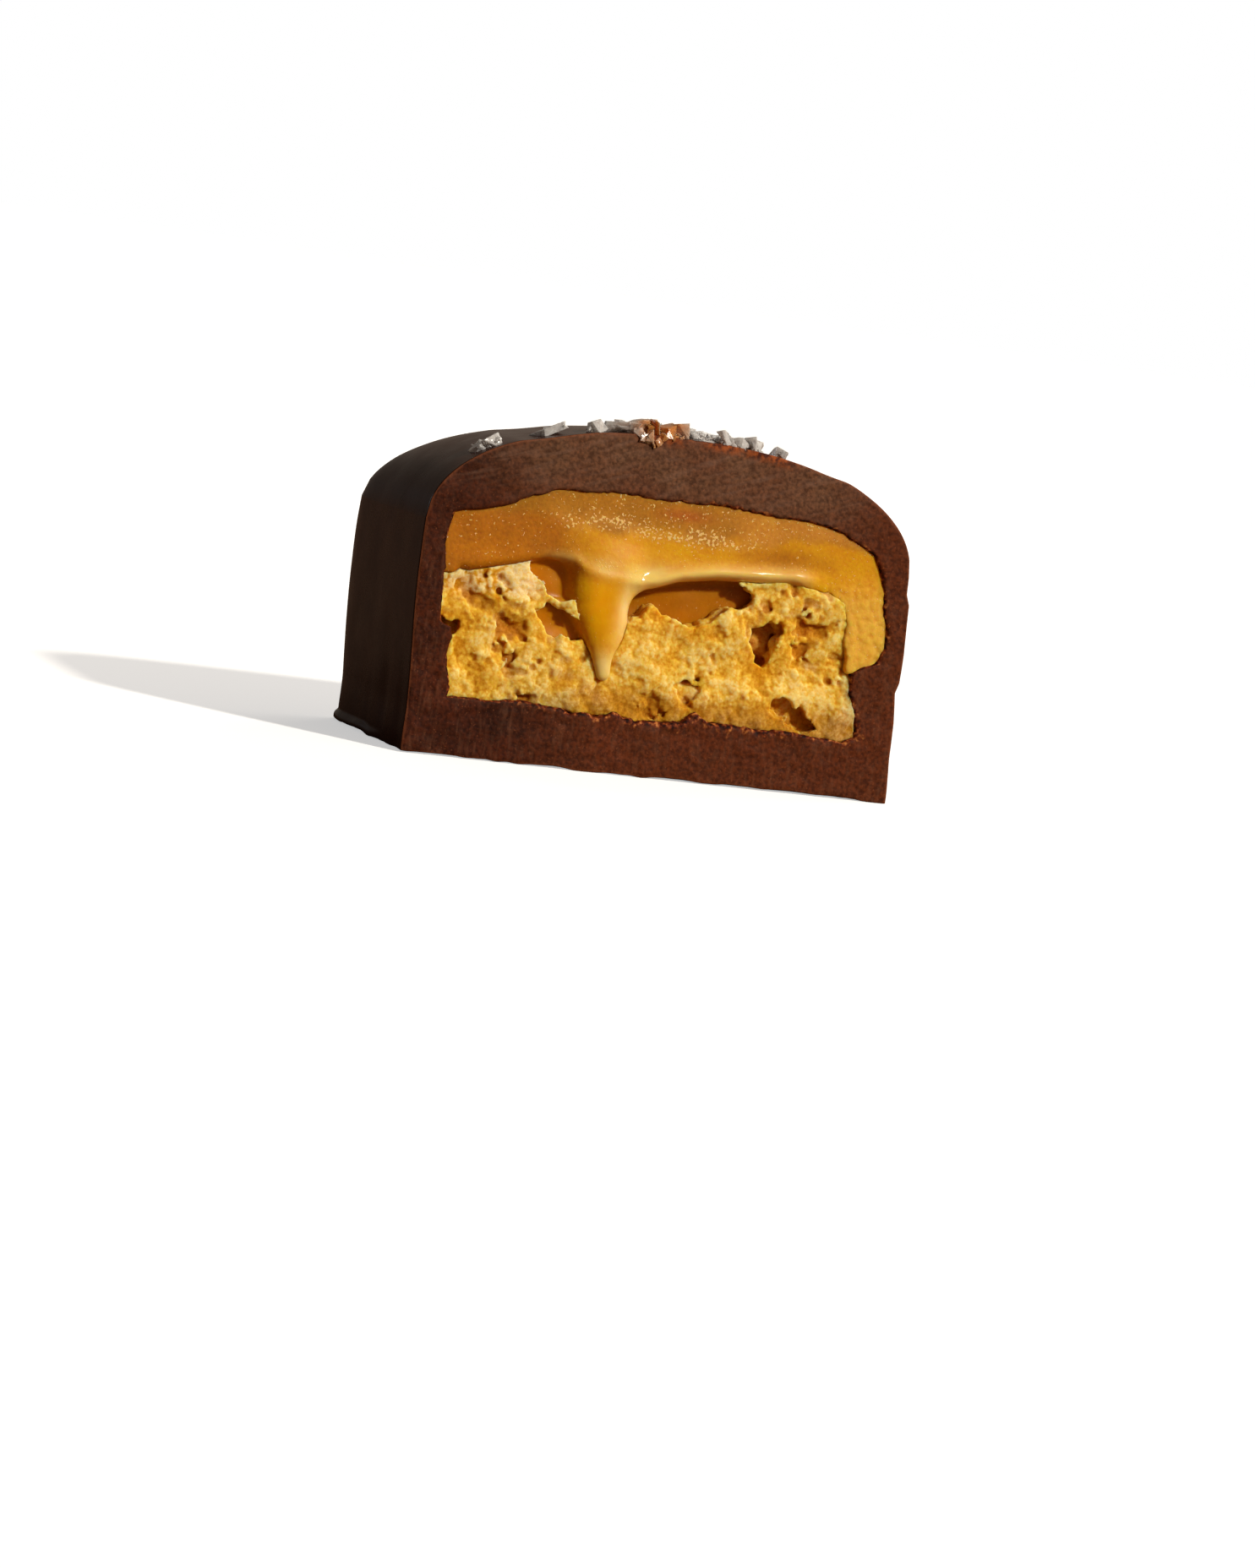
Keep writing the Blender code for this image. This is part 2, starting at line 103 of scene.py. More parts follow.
def grains(points, size, seed):
    """1 at the middle of a round grain, falling to 0 between grains of about size millimetres."""
    rng = np.random.default_rng(seed)
    spots = rng.uniform(0.1, 0.9, (TABLE, TABLE, TABLE, 3)).astype(np.float32)
    radii = rng.uniform(0.55, 1.0, (TABLE, TABLE, TABLE)).astype(np.float32)
    scaled = np.asarray(points, np.float32) / size
    cell = np.floor(scaled).astype(np.int32)
    nearest = np.full(len(scaled), 9.0, np.float32)
    for step in np.ndindex(3, 3, 3):
        there = cell + np.array(step) - 1
        i, j, k = there.T % TABLE
        away = there + spots[i, j, k] - scaled
        reach = np.einsum("ij,ij->i", away, away) / radii[i, j, k] ** 2
        np.minimum(nearest, reach, out=nearest)
    return np.clip(1.0 - nearest, 0.0, 1.0)


sample = np.random.default_rng(1).uniform(0, 30, (2000, 3))
print("noise", soft_noise(sample, 2.0, 5).std().round(2), "grains", grains(sample, 1.0, 5).mean().round(2))

# %% [markdown]
# Soft and crumbly shapes are hard to draw face by face. Here each is a field instead: a grid of numbers
# that are below zero in the food and above zero in the air. The skin of the food runs where the numbers
# cross zero. One point is put in each grid cell that the skin passes through, and neighbouring points are
# joined. Two more helpers turn such points into a piece, and keep numbers or colours on them for the
# finish.

# %% A skin round a field
def skin(field, low, step):
    """Points and four-sided faces where a grid of numbers crosses zero."""
    solid = field < 0
    size = np.array(field.shape) - 1
    count = np.zeros(size, np.int8)
    for a, b, c in np.ndindex(2, 2, 2):
        count += solid[a:size[0] + a, b:size[1] + b, c:size[2] + c]
    active = (count > 0) & (count < 8)
    cells = np.argwhere(active)
    number = np.full(size, -1, np.int32)
    number[active] = np.arange(len(cells))
    points = np.asarray(low) + (cells + crossing_middle(field, cells)) * step
    return points, np.concatenate([faces_along(solid, number, axis) for axis in range(3)])


def crossing_middle(field, cells):
    """Where in each cell the skin passes: the mean of its crossings with the cell's twelve edges."""
    total = np.zeros((len(cells), 3))
    hits = np.zeros(len(cells))
    for axis in range(3):
        for offset in np.ndindex(2, 2, 2):
            if offset[axis]:
                continue
            end = np.array(offset)
            end[axis] = 1
            here = field[tuple((cells + offset).T)]
            there = field[tuple((cells + end).T)]
            crossed = (here < 0) != (there < 0)
            share = np.where(crossed, here / np.where(crossed, here - there, 1.0), 0.0)
            place = np.array(offset, float) + share[:, None] * (end - np.array(offset))
            total += np.where(crossed[:, None], place, 0.0)
            hits += crossed
    return total / np.maximum(hits, 1)[:, None]


def faces_along(solid, number, axis):
    """The faces that cross the grid's lines along one axis, facing out of the food."""
    ahead = np.zeros(3, int)
    ahead[axis] = 1
    side, other = np.zeros(3, int), np.zeros(3, int)
    side[(axis + 1) % 3] = 1
    other[(axis + 2) % 3] = 1
    ends = np.array(solid.shape) - ahead
    start = solid[:ends[0], :ends[1], :ends[2]]
    stop = solid[ahead[0]:, ahead[1]:, ahead[2]:]
    spots = np.argwhere(start != stop)
    spots = spots[np.all((spots >= side + other) & (spots < number.shape), axis=1)]
    ring = [number[tuple((spots - back).T)] for back in (side + other, other, 0 * side, side)]
    faces = np.stack(ring, axis=1)
    backwards = ~start[tuple(spots.T)]
    faces[backwards] = faces[backwards][:, ::-1]
    return faces


def whole_part(points, faces):
    """Keeps the largest connected skin and drops the loose specks round it."""
    label = np.arange(len(points))
    while True:
        lowest = label.copy()
        np.minimum.at(lowest, faces.ravel(), np.repeat(label[faces].min(axis=1), 4))
        lowest = lowest[lowest]
        if np.array_equal(lowest, label):
            break
        label = lowest
    keep = label == np.bincount(label).argmax()
    print("dropped", int((~keep).sum()), "loose points")
    return points[keep], (np.cumsum(keep) - 1)[faces[keep[faces[:, 0]]]]


def skin_of(field, low, high, step):
    """The skin of a field inside a box, from corner low to corner high."""
    axes = [np.arange(a, b, step, dtype=np.float32) for a, b in zip(low, high)]
    cube = np.meshgrid(*axes, indexing="ij")
    spots = np.stack([c.ravel() for c in cube], axis=1)
    return whole_part(*skin(field(spots).reshape(cube[0].shape), low, step))


def new_object(name, data):
    """An object in the scene."""
    made = bpy.data.objects.new(name, data)
    bpy.context.scene.collection.objects.link(made)
    return made


def add_piece(name, points, faces, finish):
    """A mesh object from points in millimetres, with smooth shading."""
    mesh = bpy.data.meshes.new(name)
    mesh.from_pydata(to_model(points), [], faces)
    mesh.materials.append(finish)
    mesh.shade_smooth()
    print(name, len(points), "points", len(faces), "faces")
    return new_object(name, mesh)


def add_values(piece, name, values):
    """Keeps one number or one colour per point on a mesh, for its finish to read."""
    values = np.asarray(values, np.float32)
    if values.ndim == 1:
        piece.data.attributes.new(name, "FLOAT", "POINT").data.foreach_set("value", values)
    else:
        values = np.column_stack([values, np.ones(len(values), np.float32)])
        piece.data.attributes.new(name, "FLOAT_COLOR", "POINT").data.foreach_set("color", values.ravel())


# %% [markdown]
# The cut face was measured with a ruler: where the chocolate's pocket runs, where the caramel ends below,
# and where pieces of shortbread have broken out. These lines are short lists of (x, z) corners, and
# everything that shows on the cut face is built from them.

# %% Lines on the cut face
LEFT_EDGE = [(-16.6, 4.5), (-16.4, 5.8), (-16.9, 6.8), (-17.0, 7.7), (-16.8, 9.2), (-16.9, 9.9),
             (-17.9, 10.2), (-18.0, 11.6), (-18.0, 13.1), (-18.2, 14.6), (-18.3, 16.5), (-18.25, 18.3)]
ROOF_EDGE = [(-18.2, 18.6), (-17.3, 18.8), (-15.1, 19.2), (-13.1, 19.9), (-11.9, 20.6), (-9.8, 21.2),
             (-8.0, 21.3), (-4.8, 21.5), (-0.5, 21.4), (3.5, 21.6), (6.0, 21.4), (7.7, 21.3), (11.6, 21.1),
             (13.6, 20.7), (15.4, 19.9), (16.9, 19.1)]
RIGHT_EDGE = [(17.7, 17.6), (18.1, 15.4), (18.6, 13.5), (18.6, 12.1), (18.2, 10.9), (16.9, 10.4),
              (16.3, 9.9), (16.3, 8.3), (17.0, 6.6), (17.2, 5.0)]
FLOOR_EDGE = [(16.2, 4.5), (14.3, 4.6), (12.6, 4.7), (10.9, 4.9), (9.8, 4.6), (8.2, 4.8), (6.8, 4.9),
              (4.9, 4.8), (3.9, 5.4), (3.2, 5.1), (2.7, 4.7), (1.4, 4.5), (-0.5, 4.4), (-2.7, 4.7),
              (-4.3, 4.4), (-6.2, 4.5), (-8.1, 4.7), (-9.7, 4.8), (-11.8, 4.8), (-13.6, 4.6), (-14.9, 4.7)]
CARAMEL_EDGE = [(16.0, 10.2), (15.7, 11.1), (15.2, 12.4), (15.3, 13.7), (14.7, 15.2), (13.5, 15.9),
                (11.7, 16.1), (10.3, 16.2), (7.4, 16.0), (3.9, 15.8), (0.9, 15.3), (-1.0, 14.6),
                (-2.3, 14.3), (-5.0, 14.4), (-7.0, 14.8), (-8.0, 15.6), (-9.0, 15.9), (-10.1, 15.9),
                (-12.0, 15.3), (-14.0, 14.8), (-16.0, 14.3), (-18.4, 14.3)]
UPPER_LEFT_HOLE = [(-11.3, 15.5), (-9.8, 16.0), (-8.5, 15.9), (-7.4, 15.3), (-7.0, 14.2), (-7.2, 13.1),
                   (-8.5, 12.7), (-9.5, 13.0), (-10.0, 14.0), (-11.1, 14.8)]
LOWER_LEFT_HOLE = [(-10.5, 11.9), (-9.4, 12.3), (-8.2, 12.2), (-6.6, 11.6), (-5.9, 10.6), (-6.8, 10.2),
                   (-8.5, 10.2), (-9.1, 10.8), (-9.8, 11.4)]
ARCH_HOLE = [(-3.2, 11.8), (-3.2, 12.6), (-2.6, 13.6), (-1.5, 14.4), (-0.6, 14.9), (0.8, 15.4), (2.6, 15.9),
             (4.8, 16.0), (6.3, 15.6), (7.3, 15.0), (7.3, 14.4), (6.4, 14.0), (5.3, 13.9), (4.7, 13.5),
             (3.8, 12.9), (2.9, 12.2), (1.5, 12.2), (0.3, 12.7), (-0.7, 13.3), (-1.5, 13.0), (-2.3, 11.8)]
RIGHT_HOLE = [(7.6, 12.5), (9.6, 13.1), (10.1, 12.5), (9.8, 11.9), (9.5, 11.2), (9.4, 10.4), (9.0, 9.8),
              (8.5, 10.2), (8.0, 10.9), (7.4, 11.5)]
CORNER_CRACK = [(10.3, 7.3), (11.0, 7.6), (12.2, 6.9), (13.4, 6.0), (14.1, 5.1), (13.1, 5.0), (11.5, 5.9),
                (10.3, 6.4)]
SMALL_HOLE = [(1.6, 7.6), (2.3, 7.9), (3.6, 7.4), (3.8, 6.6), (3.1, 6.3), (2.3, 6.7)]
LEFT_CHIP = [(-17.9, 10.2), (-16.5, 10.4), (-16.5, 9.7), (-17.0, 9.1)]

POCKET = LEFT_EDGE + ROOF_EDGE + RIGHT_EDGE + FLOOR_EDGE
CARAMEL_FACE = CARAMEL_EDGE[::-1] + RIGHT_EDGE[:6][::-1] + ROOF_EDGE[::-1] + LEFT_EDGE[9:][::-1]
print("pocket", len(POCKET), "corners, caramel", len(CARAMEL_FACE), "corners")

# %% [markdown]
# To turn such a line into a field, each point needs its distance to the line, counted as negative inside.
# That is worked out once on a flat grid, and read back for any point in between.

# %% Distance to a line
def line_distance(x, z, corners):
    """Distance from points of the cut face to a closed line, negative inside it."""
    corners = np.asarray(corners, float)
    nearest = np.full(x.shape, 1e9)
    inside = np.zeros(x.shape, bool)
    for (ax, az), (bx, bz) in zip(corners, np.roll(corners, -1, axis=0)):
        run_x, run_z = bx - ax, bz - az
        share = np.clip(((x - ax) * run_x + (z - az) * run_z) / (run_x ** 2 + run_z ** 2), 0.0, 1.0)
        nearest = np.minimum(nearest, np.hypot(x - ax - share * run_x, z - az - share * run_z))
        crosses = (az > z) != (bz > z)
        inside ^= crosses & (x < ax + (z - az) * run_x / (run_z if run_z else 1e-9))
    return np.where(inside, -nearest, nearest)


FLAT_STEP = 0.1
FLAT_LOW, FLAT_HIGH = (-23.0, -2.0), (23.0, 30.0)


def flat_field(corners):
    """A closed line as a function that gives the distance to it at any x and z."""
    axes = [np.arange(a, b, FLAT_STEP) for a, b in zip(FLAT_LOW, FLAT_HIGH)]
    table = line_distance(*np.meshgrid(*axes, indexing="ij"), corners).astype(np.float32)

    def read(x, z):
        at_x, at_z = (x - FLAT_LOW[0]) / FLAT_STEP, (z - FLAT_LOW[1]) / FLAT_STEP
        i = np.clip(at_x.astype(int), 0, table.shape[0] - 2)
        k = np.clip(at_z.astype(int), 0, table.shape[1] - 2)
        u, w = at_x - i, at_z - k
        low = table[i, k] * (1 - u) + table[i + 1, k] * u
        high = table[i, k + 1] * (1 - u) + table[i + 1, k + 1] * u
        return low * (1 - w) + high * w

    return read


def smooth_join(a, b, reach):
    """The nearer of two fields, blended where they are about equal, as soft food flows together."""
    share = np.clip(0.5 + 0.5 * (b - a) / reach, 0.0, 1.0)
    return b + (a - b) * share - reach * share * (1.0 - share)


def ease(value):
    """0 to 1 with soft ends."""
    value = np.clip(value, 0.0, 1.0)
    return value * value * (3.0 - 2.0 * value)


pocket_line = flat_field(POCKET)
caramel_line = flat_field(CARAMEL_FACE)
print("the pocket's middle lies", pocket_line(np.array([0.0]), np.array([12.0])).round(1), "mm inside it")

# %% [markdown]
# Caramel is soft enough to creep. Its layer keeps a flat knife-cut front high up, swells into a rounded lip
# along its lower edge, and runs down in one thick drip. The layer is the measured line drawn back into the
# half with rounded edges, the drip is a chain of links that shrink towards its tip, and the two are
# blended. Each link is given as its height, its x, its radius and how far back its middle lies, and all are
# flatter than they are wide. Behind the holes the caramel comes down further, which gives them their smooth
# amber backs.

# %% The caramel's form
DRIP = [(17.4, -4.6, 2.4, 1.95), (15.6, -4.8, 2.6, 1.36), (14.0, -5.15, 2.6, 1.22),
        (12.8, -5.05, 2.3, 1.08), (11.7, -4.75, 2.0, 0.92), (10.9, -4.65, 1.7, 0.73),
        (10.2, -4.6, 1.35, 0.52), (9.4, -4.6, 0.95, 0.33), (8.6, -4.5, 0.72, 0.27), (7.7, -4.3, 0.58, 0.28)]
DRIP_FLATTER = 1.6
LINK_JOIN, DRIP_JOIN, BACK_JOIN = 0.12, 1.3, 0.7
LIP_ROUND, CUT_ROUND = 0.75, 0.12
FACE_BACK, LIP_OUT, SWELL_OUT, WANDER_OUT = 0.28, 0.42, 0.08, 0.06
PASTE_GRAIN = 0.12


def drip_field(points):
    """Below zero in the drip, above zero round it."""
    nearest = np.full(len(points), 9.0, np.float32)
    for (z1, x1, r1, y1), (z2, x2, r2, y2) in zip(DRIP, DRIP[1:]):
        start, run = np.array([x1, y1, z1]), np.array([x2 - x1, y2 - y1, z2 - z1])
        share = np.clip((points - start) @ run / (run @ run), 0.0, 1.0)
        away = np.linalg.norm((points - start - share[:, None] * run) * (1.0, DRIP_FLATTER, 1.0), axis=1)
        nearest = smooth_join(nearest, away - (r1 + (r2 - r1) * share), LINK_JOIN)
    return nearest


def slab_field(flat, y, front, edge):
    """A flat shape drawn back from y = front, its front edge rounded off by edge."""
    across, along_y = flat + edge, front - y + edge
    outside = np.hypot(np.maximum(across, 0.0), np.maximum(along_y, 0.0))
    return np.minimum(np.maximum(across, along_y), 0.0) + outside - edge


upper_left_hole = flat_field(UPPER_LEFT_HOLE)
lower_left_hole = flat_field(LOWER_LEFT_HOLE)
arch_hole = flat_field(ARCH_HOLE)
UNDER_X, UNDER_Z = zip(*CARAMEL_EDGE[::-1][:-5])


def caramel_field(points):
    """Below zero in the caramel, above zero in the air."""
    x, y, z = points.T
    wander = soft_noise(points * (1, 0.3, 1), 2.2, 3)
    flat, inner = caramel_line(x, z), pocket_line(x, z)
    above = z - np.interp(x, UNDER_X, UNDER_Z)
    lip = np.exp(-((above - 0.7) / 0.55) ** 2) * ease((13.5 - x) / 3.0) * ease((x + 9.0) / 3.0)
    swell = np.exp(-((x + 2.5) / 4.5) ** 2 - ((z - 16.6) / 1.3) ** 2)
    front = FACE_BACK - LIP_OUT * lip - SWELL_OUT * swell + WANDER_OUT * wander
    free = ease((-inner - 0.6) / 0.8)
    edge = CUT_ROUND + (LIP_ROUND - CUT_ROUND) * free * ease((12.0 - x) / 2.5)
    layer = slab_field(flat - 0.3 * (1.0 - free), y, front, edge)
    body = smooth_join(layer, drip_field(points), DRIP_JOIN)
    for hole, back in ((upper_left_hole, 1.5), (arch_hole, 2.1), (lower_left_hole, 1.3)):
        wall = np.maximum(hole(x, z) - 0.5, back + 0.25 * wander - y)
        body = smooth_join(body, wall, BACK_JOIN)
    paste = np.flatnonzero((x > 9.0) & (np.abs(body) < 0.7))
    share = ease((x[paste] - 9.5) / 3.5) * ease((18.0 - z[paste]) / 2.0)
    body[paste] -= share * (PASTE_GRAIN * grains(points[paste], 0.62, 22) - PASTE_GRAIN / 3)
    return body


CARAMEL_LOW, CARAMEL_HIGH, CARAMEL_STEP = (-19.4, -1.0, 6.9), (19.4, 5.6, 22.6), 0.14
caramel_points, caramel_faces = skin_of(caramel_field, CARAMEL_LOW, CARAMEL_HIGH, CARAMEL_STEP)
print("caramel", len(caramel_points), "points")

# %% [markdown]
# Shortbread breaks into crumbs that cling together, with holes where a piece has come away. The broken face
# is a rough front with the measured holes sunk into it. Clusters and single crumbs are then added all over,
# and small cavities taken out, so that the holes' walls and rims crumble as well. Where the caramel lies
# against it, the crumb gives way. The three kinds of relief are functions, since the colours follow them
# later.

# %% The shortbread's crumb
CRUMB_FACE = LEFT_EDGE[:10] + CARAMEL_EDGE[::-1] + RIGHT_EDGE[6:] + FLOOR_EDGE
crumb_line = flat_field(CRUMB_FACE)
HOLES = [(upper_left_hole, 2.6), (lower_left_hole, 2.2), (arch_hole, 3.4), (flat_field(RIGHT_HOLE), 2.3),
         (flat_field(CORNER_CRACK), 1.6), (flat_field(SMALL_HOLE), 1.1), (flat_field(LEFT_CHIP), 1.6)]
CRUMB_BACK, HOLE_WIDER, SURFACE_REACH = 0.62, 0.22, 1.3
RAGGED = [(1.3, 0.28, (11, 12)), (0.55, 0.20, (13, 14))]
CLUSTER_OUT, CAVITY_IN, CRUMB_MEAN = 0.17, 0.38, 0.054


def clusters(points):
    """Clumps of crumb from 0.5 to 1.5 mm across: how far they stand out at each point."""
    bent = points + 0.3 * np.stack([soft_noise(points, 0.9, seed) for seed in (23, 24, 25)], axis=1)
    return CLUSTER_OUT * soft_noise(bent, 1.3, 17) + 0.10 * soft_noise(bent, 0.62, 18)


def crumbs(points):
    """Single crumbs of 0.3 to 0.5 mm that cling to the clumps: how far they stand out."""
    return 0.07 * grains(points, 0.52, 26) + 0.09 * grains(points, 0.34, 27)


def cavities(points):
    """0 on sound crumb, rising to 1 where a little clump has fallen out."""
    ragged = soft_noise(points * (0.75, 1, 1.1), 1.1, 19) + 0.5 * soft_noise(points, 0.5, 20)
    return ease((ragged - 0.1) / 0.7) * ease(0.6 + 1.5 * soft_noise(points, 3.0, 28))


def shortbread_field(points):
    """Below zero in the crumb, above zero in the air."""
    x, y, z = points.T
    ragged = sum(reach * np.stack([soft_noise(points, size, seed) for seed in seeds])
                 for size, reach, seeds in RAGGED)
    front = CRUMB_BACK + 0.32 * soft_noise(points * (1, 0.4, 1), 3.1, 15) + 0.18 * soft_noise(points, 1.5, 16)
    front -= 0.3 * ease((x - 8.0) / 3.0) * ease((z - 10.0) / 3.0)
    front -= 0.3 * ease((x - 14.3) / 1.5) * ease((10.0 - z) / 1.5)
    rim = crumb_line(x, z)
    body = np.maximum(rim - 0.30 + 0.25 * ragged[0], front - y)
    for hole, depth in HOLES:
        opening = np.maximum(hole(x + ragged[0], z + ragged[1]) - HOLE_WIDER, y - depth)
        body = np.maximum(body, -opening)
    near = np.flatnonzero(np.abs(body) < SURFACE_REACH)
    close = points[near]
    body[near] -= clusters(close) + crumbs(close) + 0.02
    body[near] += CAVITY_IN * cavities(close)
    body[near] = np.maximum(body[near], rim[near] - 0.12 + 0.5 * ragged[1][near])
    gap = np.where(close[:, 0] > 8.0, -0.12, 0.05)
    body[near] = np.maximum(body[near], gap - caramel_field(close))
    return body


CRUMB_LOW, CRUMB_HIGH, CRUMB_STEP = (-19.2, -0.4, 4.0), (18.2, 5.6, 17.0), 0.11
crumb_points, crumb_faces = skin_of(shortbread_field, CRUMB_LOW, CRUMB_HIGH, CRUMB_STEP)
print("shortbread", len(crumb_points), "points")

# %% [markdown]
# The chocolate was poured over the piece, so its outside is one smooth dome with straight sides, and it was
# then cut through. The outside is made of level rings, each half of a rounded square, and each ring's two
# ends lie on the cut. The cut face is then a band that runs from those ends to the pocket's edge. Near the
# top the rings shrink and their corners grow rounder, and at the foot the coat has run out into a small
# lip.

# %% The chocolate's outside
HALF_WIDTH, DEPTH = 19.8, 20.4
SIDE_HEIGHT, CROWN = 17.9, 8.4
BULGE, LEAN = 0.45, 0.35
FRONT_POWER, BACK_POWER = 2.54, 4.3
SHOULDER_DIP, SHOULDER_AT, SHOULDER_REACH = 0.06, 0.89, 0.1
TOP_CORNER, WALL_CORNER, CORNER_EASE = 3.0, 16.0, 1.8
LIP_TALL, LIP_OUT_SIDE, LIP_OUT_BACK = 0.8, 0.3, 0.2
LIP_AT, LIP_WIDE = math.radians(138), math.radians(29)
RIGHT_LEDGE = [(0.0, 0.5), (2.6, 0.5), (6.4, 0.3), (8.8, 0.0), (9.6, 0.25), (12.0, 0.35), (15.8, 0.3),
               (16.6, 0.0), (19.0, 0.0)]
RING_POINTS = 150


def bump(distance):
    """1 at distance 0, falling smoothly to 0 at distance 1."""
    inside = np.maximum(0.0, 1.0 - np.square(distance))
    return inside * inside * (3.0 - 2.0 * inside)


def ring(z):
    """One level ring of the outside, from the cut's right edge round the back to its left edge."""
    share = max(0.0, (z - SIDE_HEIGHT) / CROWN)
    left = max(0.0, 1.0 - share * share)
    wall = min(z, SIDE_HEIGHT) / SIDE_HEIGHT
    swell = BULGE * math.sin(0.75 * math.pi * wall) - 0.1
    half = (HALF_WIDTH + swell) * left ** (1 / FRONT_POWER)
    half *= 1.0 - SHOULDER_DIP * float(bump((share - SHOULDER_AT) / SHOULDER_REACH))
    depth = (DEPTH - BULGE - 0.25 + swell) * left ** (1 / BACK_POWER)
    power = TOP_CORNER + (WALL_CORNER - TOP_CORNER) * (1.0 - share) ** CORNER_EASE
    shift = LEAN * (1.0 - 1.6 * wall) * float(bump(share))
    angles = np.linspace(0.0, math.pi, RING_POINTS)
    across, back = np.cos(angles), np.maximum(0.0, np.sin(angles))
    radius = (np.abs(across) ** power + back ** power) ** (-1.0 / power)
    ledge = np.interp(z, *zip(*RIGHT_LEDGE)) * np.maximum(0.0, across) ** 4
    lip = bump(z / LIP_TALL) * bump(np.minimum(1.0, np.abs(angles - LIP_AT) / LIP_WIDE))
    x = shift + across * radius * half + ledge + np.sign(across) * LIP_OUT_SIDE * lip
    y = back * radius * (depth + LIP_OUT_BACK * lip)
    y[[0, -1]] = 0.0
    return np.stack([x, y, np.full(RING_POINTS, z)], axis=1)


wall_heights = [0.0, 0.12, 0.3] + list(np.arange(0.5, SIDE_HEIGHT, 0.16))
crown_heights = [SIDE_HEIGHT + CROWN * math.sqrt(1 - w ** FRONT_POWER) for w in np.linspace(1.0, 0.02, 90)]
rings = np.array([ring(z) for z in wall_heights + crown_heights])
print("rings", rings.shape)

# %% [markdown]
# A poured coat is never perfectly even. The sides swell and dip by a tenth of a millimetre or so, and low
# down the chocolate has set in soft upright dents where it ran to its foot. The foot itself flares a little
# and is wavy. These are small moves of the ring points, made before the faces, so the highlights pick them
# out.

# %% Uneven sides and foot
DENT_DEEP, FOOT_FLARE, FOOT_HIGH = 0.32, 0.28, 4.0


def settle(points):
    """Moves points of the outside a little, as poured chocolate sets."""
    x, y, z = points.T
    middle = np.array([0.0, 6.0, 9.0])
    outward = (points - middle) / np.linalg.norm(points - middle, axis=1)[:, None]
    level = outward * (1.0, 1.0, 0.0)
    sway = 0.10 * soft_noise(points, 7.0, 31) + 0.03 * soft_noise(points, 2.6, 32)
    dents = np.maximum(0.0, soft_noise(points * (1.0, 1.0, 0.12), 1.9, 33) - 0.15)
    dents *= DENT_DEEP * ease((8.0 - z) / 6.0)
    flare = FOOT_FLARE * ease((FOOT_HIGH - z) / FOOT_HIGH)
    moved = points + outward * sway[:, None] + level * (flare - dents)[:, None]
    plan = points * (1, 1, 0)
    lift = 0.16 + 0.14 * soft_noise(plan, 2.6, 34) + 0.05 * soft_noise(plan, 0.9, 35)
    lift *= 1.0 - bump(np.minimum(1.0, np.hypot(x - 19.6, y) / 2.4))
    moved[:, 2] = np.maximum(moved[:, 2], 0.0) + np.maximum(lift, 0.0) * ease((2.5 - z) / 2.5)
    return moved


EDGE_BACK = 0.10
outside = settle(rings.reshape(-1, 3)).reshape(rings.shape)
outside[:, [0, -1], 1] = EDGE_BACK
crown_top = np.array([[0.0, EDGE_BACK, outside[-1, :, 2].max() + 0.01]])
print("outside spans", outside.reshape(-1, 3).min(0).round(2), outside.reshape(-1, 3).max(0).round(2))

# %% [markdown]
# The cut edge of the chocolate catches the light as a fine pale line, because a knife leaves it very
# slightly rounded, and the edge round the pocket is ragged where it parted from the filling. The cut finish
# also paints a highlight along that pale line. The band therefore has narrow rows at both edges, set back a
# little, and wide rows between them.

# %% The cut face and the pocket
POCKET_MIDDLE = np.array([0.0, 12.2])
BASE_STEP = 0.22
FAR = 9.0
POCKET_DEPTHS, POCKET_TAPER = (0.7, 1.4, 3.0, 16.8), 0.1
CUT_LEVEL, SEAM_ROUGH = 0.04, 0.16
EDGE_ROUND, POCKET_ROUND, POCKET_BACK = 0.05, 0.09, 0.30


def on_cut(flat, back):
    """Flat (x, z) points of the cut face as points in space, some way back from it."""
    return np.stack([flat[:, 0], 0 * flat[:, 0] + back, flat[:, 1]], axis=1)


def pocket_edge(directions):
    """The pocket's edge in each direction from its middle, with a ragged line."""
    corners = np.array(POCKET + POCKET[:1])
    fine = np.concatenate([np.linspace(a, b, 40, endpoint=False) for a, b in zip(corners, corners[1:])])
    arms = fine - POCKET_MIDDLE
    angles, reach = np.arctan2(arms[:, 1], arms[:, 0]), np.hypot(arms[:, 0], arms[:, 1])
    order = np.argsort(angles)
    reach = np.interp(directions, angles[order], reach[order], period=2 * math.pi)
    spots = POCKET_MIDDLE + reach[:, None] * np.stack([np.cos(directions), np.sin(directions)], axis=1)
    placed = on_cut(spots, 0.0)
    low = 1.0 + 0.8 * ease((6.5 - spots[:, 1]) / 1.5)
    ragged = low * (0.10 * soft_noise(placed, 0.9, 41) + 0.07 * soft_noise(placed, 0.35, 42))
    return spots + (ragged / reach)[:, None] * (spots - POCKET_MIDDLE)


base_x = np.arange(rings[0, -1, 0] + BASE_STEP, rings[0, 0, 0] - 0.5 * BASE_STEP, BASE_STEP)
base_line = settle(np.stack([base_x, 0 * base_x, 0 * base_x], axis=1))
base_line[:, 1] = EDGE_BACK
outer_loop = np.concatenate([outside[:, 0], crown_top, outside[::-1, -1], base_line])
arms = outer_loop[:, [0, 2]] - POCKET_MIDDLE
inner_loop = pocket_edge(np.arctan2(arms[:, 1], arms[:, 0]))
ROW_SHARES = [0.012, 0.035, *np.linspace(0.09, 0.93, 24), 0.96, 0.982, 0.994, 1.0]
print("round the cut:", len(outer_loop), "points, rows:", len(ROW_SHARES))

# %% [markdown]
# The rows become one band of faces, and the same loop goes on into the pocket and closes at its back. The
# base is filled from its rim inwards. Two more numbers are kept on each point, the distances to the outer
# edge and to the pocket, because the cut chocolate changes colour close to both.

